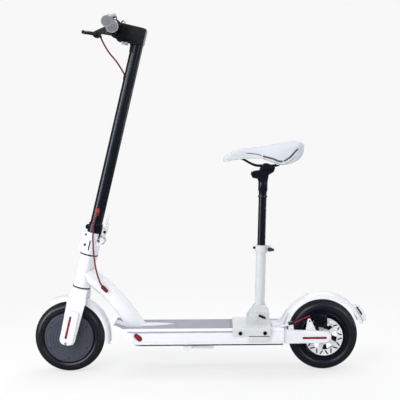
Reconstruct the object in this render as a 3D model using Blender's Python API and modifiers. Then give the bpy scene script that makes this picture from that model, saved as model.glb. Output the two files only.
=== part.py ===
"""Folding electric kick scooter with a clamped-on saddle, each piece as its own closed solid.

Metres, +Z up. The front is toward -X and the rider's left toward -Y. The origin lies on the ground
under the middle of the scooter. Pieces on the steering axis are drawn in a leaning frame whose
+Z runs up the axis from the front axle: there x is called u (rearward) and z is called s (up the axis).
"""
import math

import bmesh
import bpy
from mathutils import Matrix, Vector

# Clearance between pieces that touch, and round a pin that turns
GAP = 0.0003

# Facets round a wheel, the same on all of its pieces so that they nest
WHEEL_STEPS = 24

# Wheels
WHEEL_RADIUS = 0.111
TYRE_WIDTH = 0.050
TYRE_WALL = 0.0045
RIM_RADIUS = 0.078
RIM_WIDTH = 0.040
WHEELBASE = 0.808
FRONT_AXLE_X = -0.4175
AXLE_RADIUS = 0.006
AXLE_NUT_RADIUS = 0.0095
AXLE_NUT_HEIGHT = 0.007
MOTOR_RADIUS = 0.0795
MOTOR_WIDTH = 0.052
MOTOR_SHELL = 0.004
STATOR_RADIUS = 0.060
STATOR_WIDTH = 0.028
REAR_HUB_RADIUS = 0.020
REAR_HUB_WIDTH = 0.058
WHEEL_WEB = 0.009
WHEEL_WINDOWS = 6

# Rear brake
ROTOR_RADIUS = 0.060
ROTOR_THICKNESS = 0.002
ROTOR_Y = -0.0375
ROTOR_BORE = 0.0145
ROTOR_ARMS = 5
CALIPER_LENGTH = 0.044
CALIPER_HEIGHT = 0.046
CALIPER_SLOT = 0.0032
CALIPER_FORWARD = 0.012
CALIPER_RISE = 0.0525
ARM_THICKNESS = 0.004
ARM_REACH_X = 0.029
ARM_REACH_Z = 0.019
ARM_FACE_Y = -0.0565

# Steering axis: s is measured up the axis from the front axle
RAKE = math.radians(13.65)
HEAD_TUBE_RADIUS = 0.0275
HEAD_TUBE_START = 0.1653
HEAD_TUBE_LENGTH = 0.103
HEADSET_FLANGE = 0.0036
HEADSET_RADIUS = 0.0284
CUP_RADIUS = 0.0205
CUP_DEPTH = 0.010
STEERER_RADIUS = 0.0143
STEERER_TOP = 0.330

# Fork
FORK_INNER = 0.0415
BLADE_THICKNESS = 0.0125
BLADE_TOP_HALF = 0.0286
BLADE_LOW_HALF = 0.0240
BLADE_BOTTOM = -0.0155
FORK_COVER_THICKNESS = 0.006
FORK_COVER_LENGTH = 0.108

# Fenders
FENDER_GAP = 0.016
FENDER_SHEET = 0.0025
FENDER_HALF_WIDTH = 0.031
FENDER_LIP = 0.013
FRONT_FENDER_START = math.radians(-9.5)
FRONT_FENDER_END = math.radians(118)
REAR_FENDER_GAP = 0.0205
REAR_FENDER_START = math.radians(17)
REAR_FENDER_END = math.radians(163)
TAIL_LIGHT_START = math.radians(18)
TAIL_LIGHT_END = math.radians(41)
TAIL_LIGHT_DEPTH = 0.0148

# Folding joint, in the leaning frame
FOLD_BASE_TOP = 0.3415
FOLD_BASE_RADIUS = 0.0275
HINGE_U = 0.030
HINGE_S = 0.320
HINGE_PIN_RADIUS = 0.0045
KNUCKLE_RADIUS = 0.0112
KNUCKLE_HALF = 0.0125
KNUCKLE_EAR = 0.009
STEM_FOOT_RADIUS = 0.0223
STEM_FOOT_HEIGHT = 0.030
LEVER_PIVOT_U = 0.034
LEVER_PIVOT_S = 0.352
LEVER_TIP_U = 0.0290
LEVER_TIP_S = 0.404

# Stem, head and bar
STEM_RADIUS = 0.0192
STEM_WALL = 0.0025
STEM_TOP = 0.9995
BAR_U = -0.077
BAR_S = 0.9846
BAR_RADIUS = 0.0111
BAR_WALL = 0.0022
BAR_HALF_LENGTH = 0.2120
HEAD_TOP = 1.0095
HEAD_HALF_WIDTH = 0.0255
GRIP_RADIUS = 0.0173
GRIP_PLUG = 0.003

# Controls on the bar: places along Y, the perch outside the bell, the grip outside the perch
BELL_Y = -0.058
PERCH_SPACING = 0.025
PERCH_WIDTH = 0.020
BELL_RADIUS = 0.0185
BELL_HEIGHT = 0.0395
CONTROL_SPACING = 0.014

# Deck
DECK_TOP = 0.142
DECK_BOTTOM = 0.101
DECK_HALF_WIDTH = 0.0748
DECK_SETBACK = 0.1282
DECK_WALL = 0.0035
MAT_THICKNESS = 0.004
MAT_HALF_WIDTH = 0.0612
MAT_SETBACK = 0.0393
MAT_NOTCH_LENGTH = 0.195
MAT_GROOVE_WIDTH = 0.0016
MAT_GROOVE_DEPTH = 0.0016
MAT_GROOVE_SETBACK = 0.007
NOSE_SETBACK = 0.1415
NOSE_LENGTH = 0.048
NOSE_RISE = 0.0115
UNDERSIDE_SETBACK = 0.060
COVER_THICKNESS = 0.0072
DOWN_TUBE_DEPTH = 0.054
DOWN_TUBE_WIDTH = 0.056
DOWN_TUBE_WALL = 0.003
GROMMET_LENGTH = 0.027
GROMMET_WIDTH = 0.0115
GROMMET_HEIGHT = 0.0045
FLAP_SETBACK = 0.083
FLAP_Z = 0.122
FLAP_LENGTH = 0.029
FLAP_HEIGHT = 0.020
FLAP_THICKNESS = 0.0028

# Inside the deck
BATTERY_SETBACK = 0.166
BATTERY_MARGIN = 0.0323
BATTERY_WIDTH = 0.104
CONTROLLER_LENGTH = 0.068
CONTROLLER_WIDTH = 0.066
CONTROLLER_SETBACK = 0.125
CONTROLLER_Y = 0.012

# Middle line of the down tube: distance behind the front axle, height
DOWN_TUBE_REACH = (
    (0.0455, 0.3220), (0.0725, 0.3005), (0.0960, 0.2815), (0.1195, 0.2610), (0.1425, 0.2365),
    (0.1645, 0.2105), (0.1865, 0.1815), (0.2090, 0.1510), (0.2275, 0.1255))
GROMMET_REACH = 0.1155
GROMMET_RISE = 0.2660
GROMMET_SLOPE = math.radians(-46)

# Rear fork
ARM_INNER = 0.0480
ARM_PLATE = 0.008
REAR_COVER_THICKNESS = 0.0115
REAR_BLOCK = 0.0112

# Kickstand
STAND_SETBACK = 0.236
STAND_Y = -0.052
STAND_LENGTH = 0.080
STAND_RADIUS = 0.0046
STAND_SPLAY = math.radians(17)

# Brake cable. Its points are chosen by hand, in the leaning frame on the stem and in the world elsewhere
CABLE_RADIUS = 0.0024
CABLE_STEP = 0.0144
HIDDEN_STEP = 0.0212
CABLE_STEM_ROUTE = (
    (-0.0963, -0.0708, 0.9502), (-0.0941, -0.0681, 0.9454), (-0.0860, -0.0580, 0.9300),
    (-0.0700, -0.0410, 0.9080),
    (-0.0520, -0.0250, 0.8890), (-0.0350, -0.0110, 0.8720), (-0.0205, -0.0045, 0.8560),
    (-0.0080, -0.0035, 0.8380),
    (0.0010, -0.0030, 0.8000), (0.0020, -0.0030, 0.7000), (0.0010, -0.0035, 0.5600),
    (0.0000, -0.0050, 0.4600),
    (-0.0010, -0.0095, 0.4290), (-0.0010, -0.0160, 0.4120), (-0.0010, -0.0225, 0.4040))
CABLE_LOOP_ROUTE = (
    (-0.3243, -0.0235, 0.5023), (-0.3300, -0.0275, 0.4880), (-0.3345, -0.0310, 0.4650),
    (-0.3362, -0.0335, 0.4300),
    (-0.3350, -0.0350, 0.3950), (-0.3318, -0.0355, 0.3600), (-0.3262, -0.0355, 0.3250),
    (-0.3180, -0.0352, 0.2960),
    (-0.3105, -0.0342, 0.2790), (-0.3050, -0.0300, 0.2695))
CABLE_FRAME_ROUTE = (
    (-0.3047, -0.0298, 0.2690), (-0.3018, -0.0276, 0.2641), (-0.2965, -0.0215, 0.2565),
    (-0.2880, -0.0155, 0.2460),
    (-0.2600, -0.0100, 0.2130),
    (-0.2250, -0.0070, 0.1680), (-0.2030, -0.0060, 0.1430), (-0.1965, -0.0110, 0.1290),
    (-0.1925, -0.0300, 0.1230),
    (-0.1700, -0.0490, 0.1210), (-0.1300, -0.0590, 0.1210), (0.0000, -0.0595, 0.1210),
    (0.1400, -0.0595, 0.1210),
    (0.2150, -0.0580, 0.1210), (0.2340, -0.0535, 0.1250), (0.2460, -0.0520, 0.1380),
    (0.2560, -0.0520, 0.1480),
    (0.2680, -0.0520, 0.1510), (0.2850, -0.0520, 0.1558), (0.2960, -0.0520, 0.1589))

# Seat
SEAT_SETBACK = 0.0408
SEAT_LENGTH = 0.1185
SEAT_SHEET = 0.004
SEAT_CHEEK_BOTTOM = 0.124
SEAT_PIVOT_SETBACK = 0.0465
SEAT_PIVOT_RISE = 0.0147
SEAT_PIN_RADIUS = 0.004
SEAT_EAR_INNER = 0.0215
SEAT_EAR = 0.005
SEAT_EAR_RISE = 0.035
LATCH_REACH = 0.0285
LATCH_RISE = 0.0047
SEAT_LEAN = math.radians(2)
SEAT_AXIS_REACH = 0.0138
SEAT_TUBE_RADIUS = 0.0155
SEAT_TUBE_LOW = 0.050
SEAT_TUBE_TOP = 0.224
POST_RADIUS = 0.0127
POST_FIT = 0.0002
POST_INSERTION = 0.072
POST_TOP = 0.460
COLLAR_S = 0.386
RAIL_RISE = 0.0270
RAIL_RADIUS = 0.0035
RAIL_SPREAD = 0.022

# Construction planes: a side outline is drawn in x and z and runs through toward the rider's left,
# a front outline is drawn in y and z and runs through toward the rear, a plan outline in x and y
WORLD = Matrix.Identity(4)
SIDE = Matrix.Rotation(math.radians(90), 4, "X")
FRONT = Matrix(((0, 0, 1, 0), (1, 0, 0, 0), (0, 1, 0, 0), (0, 0, 0, 1)))
PLAN = Matrix.Identity(4)

# Places that follow from the sizes above
DOWN_TUBE_PATH = tuple((FRONT_AXLE_X + reach, 0, z) for reach, z in DOWN_TUBE_REACH)
FRONT_AXLE = Vector((FRONT_AXLE_X, 0, WHEEL_RADIUS))
REAR_AXLE = Vector((FRONT_AXLE_X + WHEELBASE, 0, WHEEL_RADIUS))
PERCH_Y = BELL_Y - PERCH_SPACING
GRIP_START = CONTROL_SPACING - PERCH_Y
THROTTLE_Y = GRIP_START - CONTROL_SPACING
NOSE_END = FRONT_AXLE_X + NOSE_SETBACK
NOSE_START = NOSE_END + NOSE_LENGTH
UNDERSIDE_START = NOSE_END + UNDERSIDE_SETBACK
DECK_REAR = REAR_AXLE.x - DECK_SETBACK
MAT_REAR = DECK_REAR - MAT_SETBACK
MAT_NOTCH_TIP = NOSE_END + MAT_NOTCH_LENGTH
FLAP_X = NOSE_END + FLAP_SETBACK
STAND_X = NOSE_END + STAND_SETBACK
SEAT_REAR = DECK_REAR - SEAT_SETBACK
SEAT_FRONT = SEAT_REAR - SEAT_LENGTH
STEERING = Matrix.Translation(FRONT_AXLE) @ Matrix.Rotation(RAKE, 4, "Y")
SEAT_PLATE_TOP = DECK_TOP + GAP + MAT_THICKNESS + GAP + SEAT_SHEET
SEAT_PIVOT = Vector((SEAT_REAR - SEAT_PIVOT_SETBACK, 0, SEAT_PLATE_TOP + SEAT_PIVOT_RISE))
LATCH_X = SEAT_PIVOT.x + LATCH_REACH
LATCH_Z = SEAT_PIVOT.z + LATCH_RISE
SEAT_AXIS = Matrix.Translation(SEAT_PIVOT + Vector((SEAT_AXIS_REACH, 0, 0))) @ Matrix.Rotation(SEAT_LEAN, 4,
                                                                                               "Y")
SADDLE_PLACE = Matrix.Translation(SEAT_AXIS @ Vector((0, 0, POST_TOP)))
CALIPER_CENTRE = Vector((REAR_AXLE.x - CALIPER_FORWARD, ROTOR_Y, REAR_AXLE.z + CALIPER_RISE))

parts = bpy.data.collections.new("electric_scooter")
cutters = bpy.data.collections.new("cutters")


def place(plane, x=0.0, y=0.0, z=0.0, base=WORLD):
    """A construction plane moved to a point of the base frame."""
    return base @ Matrix.Translation((x, y, z)) @ plane


def material(name, color, roughness, metallic=0.0):
    """A plain Principled finish."""
    finish = bpy.data.materials.new(name)
    finish.use_nodes = True
    shader = finish.node_tree.nodes["Principled BSDF"]
    shader.inputs["Base Color"].default_value = (*color, 1.0)
    shader.inputs["Roughness"].default_value = roughness
    shader.inputs["Metallic"].default_value = metallic
    return finish


def add(name, mesh, matrix, finish):
    """Links a mesh as a part, or as a cutter where it has no finish."""
    item = bpy.data.objects.new(name, mesh)
    item.matrix_world = matrix
    if finish is None:
        item.hide_render = True
        item.display_type = "WIRE"
        cutters.objects.link(item)
        return item
    mesh.materials.clear()
    mesh.materials.append(finish)
    mesh.shade_smooth()
    mesh.set_sharp_from_angle(angle=math.radians(35))
    parts.objects.link(item)
    return item


def from_bmesh(name, build, matrix, finish):
    """Runs a builder on an empty bmesh and links what it made."""
    shape = bmesh.new()
    build(shape)
    mesh = bpy.data.meshes.new(name)
    shape.to_mesh(mesh)
    shape.free()
    return add(name, mesh, matrix, finish)


def box(name, size, centre, matrix=WORLD, finish=None):
    """A box of the given size about a centre in the frame of the matrix."""
    def build(shape):
        made = bmesh.ops.create_cube(shape, size=1.0)
        bmesh.ops.scale(shape, vec=size, verts=made["verts"])
        bmesh.ops.translate(shape, vec=centre, verts=made["verts"])
    return from_bmesh(name, build, matrix, finish)


def disc(name, radius, depth, matrix=WORLD, finish=None, top_radius=None, sides=28):
    """A cylinder or cone frustum along local Z, centred on the frame's origin."""
    def build(shape):
        bmesh.ops.create_cone(shape, cap_ends=True, segments=sides, radius1=radius,
                              radius2=radius if top_radius is None else top_radius, depth=depth)
    return from_bmesh(name, build, matrix, finish)


def rod(name, start, end, radius, matrix=WORLD, finish=None, sides=12, end_radius=None):
    """A cylinder between two points."""
    start, end = Vector(start), Vector(end)
    turn = (end - start).to_track_quat("Z", "Y").to_matrix().to_4x4()
    middle = Matrix.Translation((start + end) / 2)
    return disc(name, radius, (end - start).length, matrix @ middle @ turn, finish, end_radius, sides)


def turned(name, profile, matrix, finish=None, steps=32, sweep=2 * math.pi, closed=False):
    """A profile of (radius, height) points, run down its outer side and turned about local Z."""
    mesh = bpy.data.meshes.new(name)
    count = len(profile)
    edges = [(i, i + 1) for i in range(count - 1)]
    if closed:
        edges.append((count - 1, 0))
    mesh.from_pydata([(r, 0, z) for r, z in profile], edges, [])
    item = bpy.data.objects.new(name, mesh)
    bpy.context.scene.collection.objects.link(item)
    screw = item.modifiers.new("turn", "SCREW")
    screw.angle = sweep
    screw.steps = screw.render_steps = steps
    screw.use_merge_vertices = abs(sweep - 2 * math.pi) < 1e-6
    screw.merge_threshold = 0.00001
    return settle(item, name, matrix, finish)


def settle(item, name, matrix, finish):
    """Turns an object, as its modifiers or its curve leave it, into a plain mesh object."""
    bpy.context.view_layer.update()
    shaped = item.evaluated_get(bpy.context.evaluated_depsgraph_get())
    mesh = bpy.data.meshes.new_from_object(shaped)
    mesh.name = name
    bpy.data.objects.remove(item)
    shape = bmesh.new()
    shape.from_mesh(mesh)
    bmesh.ops.remove_doubles(shape, verts=shape.verts, dist=0.00001)
    shape.to_mesh(mesh)
    shape.free()
    return add(name, mesh, matrix, finish)


def plate(name, outline, thickness, matrix, finish=None, holes=()):
    """A flat outline with holes, run through half its thickness each way along local Z."""
    curve = bpy.data.curves.new(name, "CURVE")
    curve.dimensions = "2D"
    curve.fill_mode = "BOTH"
    curve.extrude = thickness / 2
    for loop in (outline, *holes):
        spline = curve.splines.new("POLY")
        spline.points.add(len(loop) - 1)
        for point, (x, y) in zip(spline.points, loop):
            point.co = (x, y, 0, 1)
        spline.use_cyclic_u = True
    item = bpy.data.objects.new(name, curve)
    bpy.context.scene.collection.objects.link(item)
    return settle(item, name, matrix, finish)


def tube(name, route, radius, matrix=WORLD, finish=None, rings=2, radii=None):
    """A round bar along the points of a route, with closed ends."""
    curve = bpy.data.curves.new(name, "CURVE")
    curve.dimensions = "3D"
    curve.bevel_depth = radius
    curve.bevel_resolution = rings
    curve.use_fill_caps = True
    spline = curve.splines.new("POLY")
    spline.points.add(len(route) - 1)
    for index, (point, spot) in enumerate(zip(spline.points, route)):
        point.co = (*spot, 1)
        point.radius = 1.0 if radii is None else radii[index]
    item = bpy.data.objects.new(name, curve)
    bpy.context.scene.collection.objects.link(item)
    return settle(item, name, matrix, finish)


def smooth_route(points, spacing):
    """Even points along a smooth curve through the given ones."""
    knots = [Vector(p) for p in points]
    knots = [2 * knots[0] - knots[1], *knots, 2 * knots[-1] - knots[-2]]
    fine = []
    for a, b, c, d in zip(knots, knots[1:], knots[2:], knots[3:]):
        for step in range(12):
            t = step / 12
            fine.append(0.5 * (2 * b + (c - a) * t + (2 * a - 5 * b + 4 * c - d) * t * t
                               + (3 * b - a - 3 * c + d) * t ** 3))
    fine.append(knots[-2])
    total = sum((q - p).length for p, q in zip(fine, fine[1:]))
    count = max(2, round(total / spacing))
    route, walked, due = [fine[0]], 0.0, total / count
    for p, q in zip(fine, fine[1:]):
        length = (q - p).length
        while walked + length >= due - 1e-9 and len(route) < count:
            route.append(p.lerp(q, (due - walked) / length))
            due += total / count
        walked += length
    route.append(fine[-1])
    return route


def cut(item, tool, operation="DIFFERENCE"):
    """A Boolean between two mesh objects, kept as a modifier."""
    step = item.modifiers.new(tool.name, "BOOLEAN")
    step.operation = operation
    step.object = tool
    step.solver = "EXACT"
    return item


def join(item, *others):
    """Unites other shapes with a part."""
    for other in others:
        cut(item, other, "UNION")
    return item


def soften(item, width, segments=1, angle=35):
    """Rounds the sharp edges of a part."""
    edge = item.modifiers.new("edges", "BEVEL")
    edge.width = width
    edge.segments = segments
    edge.limit_method = "ANGLE"
    edge.angle_limit = math.radians(angle)
    edge.use_clamp_overlap = True
    return item


def rounded(corners, steps=2):
    """A closed outline through (x, y, radius) corners, each turned by its own arc."""
    points = []
    for index, (x, y, radius) in enumerate(corners):
        here = Vector((x, y))
        to_last = Vector(corners[index - 1][:2]) - here
        to_next = Vector(corners[(index + 1) % len(corners)][:2]) - here
        half = to_last.angle(to_next) / 2
        reach = min(radius / math.tan(half), 0.49 * to_last.length, 0.49 * to_next.length)
        if reach < 1e-6:
            points.append((x, y))
            continue
        radius = reach * math.tan(half)
        middle = here + (to_last.normalized() + to_next.normalized()).normalized() * radius / math.sin(half)
        start = here + to_last.normalized() * reach - middle
        end = here + to_next.normalized() * reach - middle
        sweep = start.angle_signed(end)
        for step in range(steps + 1):
            spoke = start.copy()
            spoke.rotate(Matrix.Rotation(-sweep * step / steps, 2))
            points.append(tuple(middle + spoke))
    return points


def arc(radius, start, end, steps, centre=(0.0, 0.0)):
    """Points along an arc, angles in radians from +x toward +y."""
    angles = [start + (end - start) * i / steps for i in range(steps + 1)]
    return [(centre[0] + radius * math.cos(a), centre[1] + radius * math.sin(a)) for a in angles]


def circle(radius, sides, centre=(0.0, 0.0)):
    """A closed round outline."""
    return arc(radius, 0, 2 * math.pi * (sides - 1) / sides, sides - 1, centre)


def axis_empty(name, matrix, parent=None):
    """An empty on a joint's axis, which the pieces of a moving body hang on."""
    empty = bpy.data.objects.new(name, None)
    empty.empty_display_size = 0.03
    parts.objects.link(empty)
    if parent is not None:
        empty.parent = parent
        empty.matrix_parent_inverse = parent.matrix_world.inverted()
    empty.matrix_world = matrix
    bpy.context.view_layer.update()
    return empty


def hang(empty, *items):
    """Parents pieces to a joint's empty where they stand."""
    bpy.context.view_layer.update()
    for item in items:
        held = item.matrix_world.copy()
        item.parent = empty
        item.matrix_parent_inverse = empty.matrix_world.inverted()
        item.matrix_basis = held


# Finishes
def finishes():
    """Every finish of the scooter by name."""
    return {
        "white_paint": material("white_paint", (0.80, 0.81, 0.82), 0.35),
        "black_paint": material("black_paint", (0.022, 0.023, 0.028), 0.38),
        "black_plastic": material("black_plastic", (0.020, 0.020, 0.022), 0.5),
        "white_plastic": material("white_plastic", (0.78, 0.78, 0.80), 0.45),
        "grey_rubber": material("grey_rubber", (0.33, 0.33, 0.38), 0.75),
        "grip_rubber": material("grip_rubber", (0.50, 0.50, 0.52), 0.7),
        "tyre_rubber": material("tyre_rubber", (0.018, 0.018, 0.019), 0.8),
        "motor_grey": material("motor_grey", (0.085, 0.087, 0.095), 0.45, 0.3),
        "alloy": material("alloy", (0.55, 0.56, 0.58), 0.35, 1.0),
        "steel": material("steel", (0.42, 0.43, 0.45), 0.3, 1.0),
        "chrome": material("chrome", (0.72, 0.73, 0.74), 0.12, 1.0),
        "red_cable": material("red_cable", (0.22, 0.02, 0.03), 0.5),
        "red_reflector": material("red_reflector", (0.50, 0.02, 0.03), 0.3),
        "saddle_cover": material("saddle_cover", (0.78, 0.78, 0.79), 0.5),
        "battery_wrap": material("battery_wrap", (0.05, 0.14, 0.30), 0.5),
        "gloss_black": material("gloss_black", (0.010, 0.010, 0.012), 0.12),
        "clear_lens": material("clear_lens", (0.70, 0.72, 0.74), 0.15),
    }


# Wheels
def tyre(name, axle, finish):
    """A pneumatic tyre, open toward its rim like the real casing."""
    half = TYRE_WIDTH / 2
    bead = RIM_RADIUS + GAP
    middle = bead + 0.010
    crown = WHEEL_RADIUS - middle
    outer = [(middle + crown * math.cos(a), half * math.sin(a))
             for a in (math.radians(90 - 30 * i) for i in range(7))]
    foot = RIM_WIDTH / 2 - 0.0035
    lip = foot - TYRE_WALL
    inside = WHEEL_RADIUS - 1.4 * TYRE_WALL
    profile = [(bead, lip), (bead, foot), *outer, (bead, -foot), (bead, -lip), (inside, -lip), (inside, lip)]
    return turned(name, profile, place(SIDE, *axle), finish, steps=WHEEL_STEPS, closed=True)


def motor_shell(finish):
    """The front hub motor's turning shell: drum, rim flanges and two side plates round the stator."""
    half = MOTOR_WIDTH / 2
    bore = AXLE_RADIUS + GAP
    boss = 0.019
    drum = RIM_RADIUS
    flange = RIM_WIDTH / 2 + 0.0025
    outer = [(bore, half + 0.002), (boss, half + 0.002), (boss + 0.004, half - 0.001),
             (MOTOR_RADIUS, flange + 0.0008), (drum, flange - 0.004)]
    mirrored = [(r, -z) for r, z in reversed(outer)]
    inside = STATOR_RADIUS + 0.002
    inner_half = half - 0.001 - MOTOR_SHELL
    inner = [(bore, -inner_half), (inside, -inner_half), (inside, inner_half), (bore, inner_half)]
    return turned("motor_shell", outer + mirrored + inner, place(SIDE, *FRONT_AXLE), finish,
                  steps=WHEEL_STEPS, closed=True)


def rear_rim(finish):
    """The rear wheel: rim channel, pierced web and hub in one casting."""
    half = RIM_WIDTH / 2
    hub = REAR_HUB_WIDTH / 2
    web = WHEEL_WEB / 2
    bore = AXLE_RADIUS + GAP
    side = [(bore, hub), (REAR_HUB_RADIUS, hub), (REAR_HUB_RADIUS + 0.002, web), (0.061, web),
            (0.067, half), (RIM_RADIUS + 0.0030, half), (RIM_RADIUS, half - 0.0032)]
    rim = turned("rear_rim", side + [(r, -z) for r, z in reversed(side)], place(SIDE, *REAR_AXLE),
                 finish, steps=WHEEL_STEPS, closed=True)
    span = math.pi / WHEEL_WINDOWS * 0.72
    window = arc(0.054, -span, span, 2) + arc(0.031, span * 0.8, -span * 0.8, 1)
    for index in range(WHEEL_WINDOWS):
        turn = Matrix.Rotation(2 * math.pi * (index + 0.117) / WHEEL_WINDOWS, 4, "Z")
        cut(rim, plate(f"wheel_window_{index}", window, 3 * WHEEL_WEB, place(SIDE, *REAR_AXLE) @ turn))
    return rim


def brake_rotor(finish):
    """The slotted disc beside the rear hub."""
    ring_inner = 0.043
    hub = 0.024
    holes = [circle(ROTOR_BORE, 16)]
    gap = math.pi / ROTOR_ARMS
    for index in range(ROTOR_ARMS):
        middle = 2 * gap * index
        reach = gap - 0.16
        holes.append(arc(ring_inner, middle - reach, middle + reach, 3)
                     + arc(hub, middle + reach * 0.72, middle - reach * 0.72, 1))
    slots = 2 * ROTOR_ARMS
    for index in range(slots):
        angle = 2 * math.pi * index / slots
        slant = 0.06 if index % 2 else -0.06
        lean = Vector((math.cos(angle + slant), math.sin(angle + slant)))
        root = Vector((math.cos(angle - slant), math.sin(angle - slant)))
        low, high = root * 0.0472, lean * 0.0560
        across = (high - low).normalized().orthogonal() * 0.0016
        holes.append([tuple(low - across), tuple(low + across), tuple(high + across), tuple(high - across)])
    return plate("brake_rotor", circle(ROTOR_RADIUS, 32), ROTOR_THICKNESS,
                 place(SIDE, REAR_AXLE.x, ROTOR_Y, REAR_AXLE.z), finish, holes)


def axle(name, centre, reach, finish, collar_from=None, collar_to=None, collar_radius=0.010):
    """An axle with a nut at each end, and spacers between the hub and the arms."""
    nut = reach + AXLE_NUT_HEIGHT
    profile = [(0, nut), (AXLE_NUT_RADIUS, nut), (AXLE_NUT_RADIUS, reach), (AXLE_RADIUS, reach)]
    if collar_from is not None:
        profile += [(AXLE_RADIUS, collar_to), (collar_radius, collar_to), (collar_radius, collar_from),
                    (AXLE_RADIUS, collar_from)]
    profile += [(r, -z) for r, z in reversed(profile)]
    return turned(name, profile, place(SIDE, *centre), finish, steps=12)


def motor_stator(finish):
    """The wound core that stays still inside the hub motor."""
    half = STATOR_WIDTH / 2
    bore = AXLE_RADIUS + GAP
    hub = half - 0.006
    profile = [(bore, hub), (0.040, hub), (0.042, half), (STATOR_RADIUS, half), (STATOR_RADIUS, -half),
               (0.042, -half), (0.040, -hub), (bore, -hub)]
    return turned("motor_stator", profile, place(SIDE, *FRONT_AXLE), finish, steps=12, closed=True)


# Fork and steering
def fork(finish):
    """Crown, two blades and steerer in one piece."""
    outer = FORK_INNER + BLADE_THICKNESS
    top = HEAD_TUBE_START - HEADSET_FLANGE - 2 * GAP
    shoulder = 0.029
    crown = WHEEL_RADIUS + FENDER_GAP + FENDER_SHEET + GAP
    front_outline = rounded([
        (-shoulder, top, 0.004), (-outer, top - 0.016, 0.014), (-outer, BLADE_BOTTOM, 0.003),
        (-FORK_INNER, BLADE_BOTTOM, 0.003), (-FORK_INNER, crown, 0.008),
        (FORK_INNER, crown, 0.008), (FORK_INNER, BLADE_BOTTOM, 0.003),
        (outer, BLADE_BOTTOM, 0.003), (outer, top - 0.016, 0.014), (shoulder, top, 0.004)])
    side_outline = rounded([
        (-0.023, top + 0.001, 0.002), (-BLADE_TOP_HALF, 0.130, 0.040), (-BLADE_LOW_HALF, 0.014, 0.06),
        (-BLADE_LOW_HALF, BLADE_BOTTOM, 0.016), (BLADE_LOW_HALF, BLADE_BOTTOM, 0.016),
        (BLADE_LOW_HALF, 0.014, 0.06), (BLADE_TOP_HALF, 0.130, 0.040), (0.023, top + 0.001, 0.002)])
    body = plate("fork", front_outline, 0.080, STEERING @ FRONT, finish)
    cut(body, plate("fork_side", side_outline, 0.130, STEERING @ SIDE), "INTERSECT")
    steerer = rod("fork_steerer", (0, 0, top - 0.010), (0, 0, STEERER_TOP), STEERER_RADIUS, STEERING,
                  sides=16)
    join(body, steerer)
    axle_hole = AXLE_RADIUS + GAP
    cut(body, rod("fork_dropouts", (0, -0.07, 0), (0, 0.07, 0), axle_hole, STEERING, sides=16))
    return body


def fork_cover(name, side, finish):
    """The plastic cover over a blade's lower end, with a shallow bed for its reflector."""
    low = BLADE_BOTTOM + 0.0005
    high = low + FORK_COVER_LENGTH
    wide = BLADE_LOW_HALF - 0.001
    outline = rounded([(-wide - 0.002, high, 0.007), (-wide, low, 0.014), (wide - 0.004, low, 0.014),
                       (wide - 0.006, high, 0.007)])
    middle = FORK_INNER + BLADE_THICKNESS + GAP + FORK_COVER_THICKNESS / 2
    cover = plate(name, outline, FORK_COVER_THICKNESS, place(SIDE, 0, side * middle, 0, STEERING), finish)
    soften(cover, 0.0015, 1)
    bed = rounded([(-0.0095, 0.076, 0.0035), (-0.0095, 0.004, 0.0035), (-0.0015, 0.004, 0.0035),
                   (-0.0015, 0.076, 0.0035)])
    face = side * (middle + FORK_COVER_THICKNESS / 2)
    cut(cover, plate(f"{name}_bed", bed, 0.0024, place(SIDE, 0, face, 0, STEERING)))
    nut_room = AXLE_NUT_RADIUS + 0.0008
    cut(cover, rod(f"{name}_nut", (0, side * 0.04, 0), (0, side * 0.08, 0), nut_room, STEERING, sides=16))
    return cover


def fender_shell(name, axle_at, inner_radius, start, end, finish):
    """A rolled fender sheet: an arch in section, swept round the wheel."""
    flat = FENDER_HALF_WIDTH - 0.012
    rim = inner_radius + FENDER_SHEET
    side = FENDER_HALF_WIDTH
    arch_out = [(rim - FENDER_LIP, side), *[(rim - 0.012 + 0.012 * math.sin(a), flat + 0.012 * math.cos(a))
                                            for a in (math.radians(45 * i) for i in range(3))]]
    inset = FENDER_SHEET
    arch_in = [(r - inset if r > rim - 0.009 else r, z - inset if z > flat + 0.004 else z)
               for r, z in arch_out]
    outer = arch_out + [(r, -z) for r, z in reversed(arch_out)]
    inner = arch_in + [(r, -z) for r, z in reversed(arch_in)]
    section = outer + list(reversed(inner))
    steps = max(8, round((end - start) / math.radians(12.5)))
    shape = bmesh.new()
    loops = []
    for index in range(steps + 1):
        angle = start + (end - start) * index / steps
        loops.append([shape.verts.new((r * math.cos(angle), r * math.sin(angle), z)) for r, z in section])
    count = len(section)
    for first, second in zip(loops, loops[1:]):
        for i in range(count):
            j = (i + 1) % count
            shape.faces.new((first[i], first[j], second[j], second[i]))
    shape.faces.new(list(reversed(loops[0])))
    shape.faces.new(loops[-1])
    bmesh.ops.recalc_face_normals(shape, faces=shape.faces)
    mesh = bpy.data.meshes.new(name)
    shape.to_mesh(mesh)
    shape.free()
    return add(name, mesh, place(SIDE, *axle_at), finish)


def headset_cup(name, flange_low, flange_high, insert_end, finish):
    """A headset ring with its bearing, pressed into an end of the head tube."""
    bore = STEERER_RADIUS + GAP
    if insert_end > flange_high:
        profile = [(bore, insert_end), (CUP_RADIUS - GAP, insert_end), (CUP_RADIUS - GAP, flange_high),
                   (HEADSET_RADIUS, flange_high), (HEADSET_RADIUS, flange_low), (bore, flange_low)]
    else:
        profile = [(bore, flange_high), (HEADSET_RADIUS, flange_high), (HEADSET_RADIUS, flange_low),
                   (CUP_RADIUS - GAP, flange_low), (CUP_RADIUS - GAP, insert_end), (bore, insert_end)]
    return turned(name, profile, STEERING, finish, steps=16, closed=True)


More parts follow.
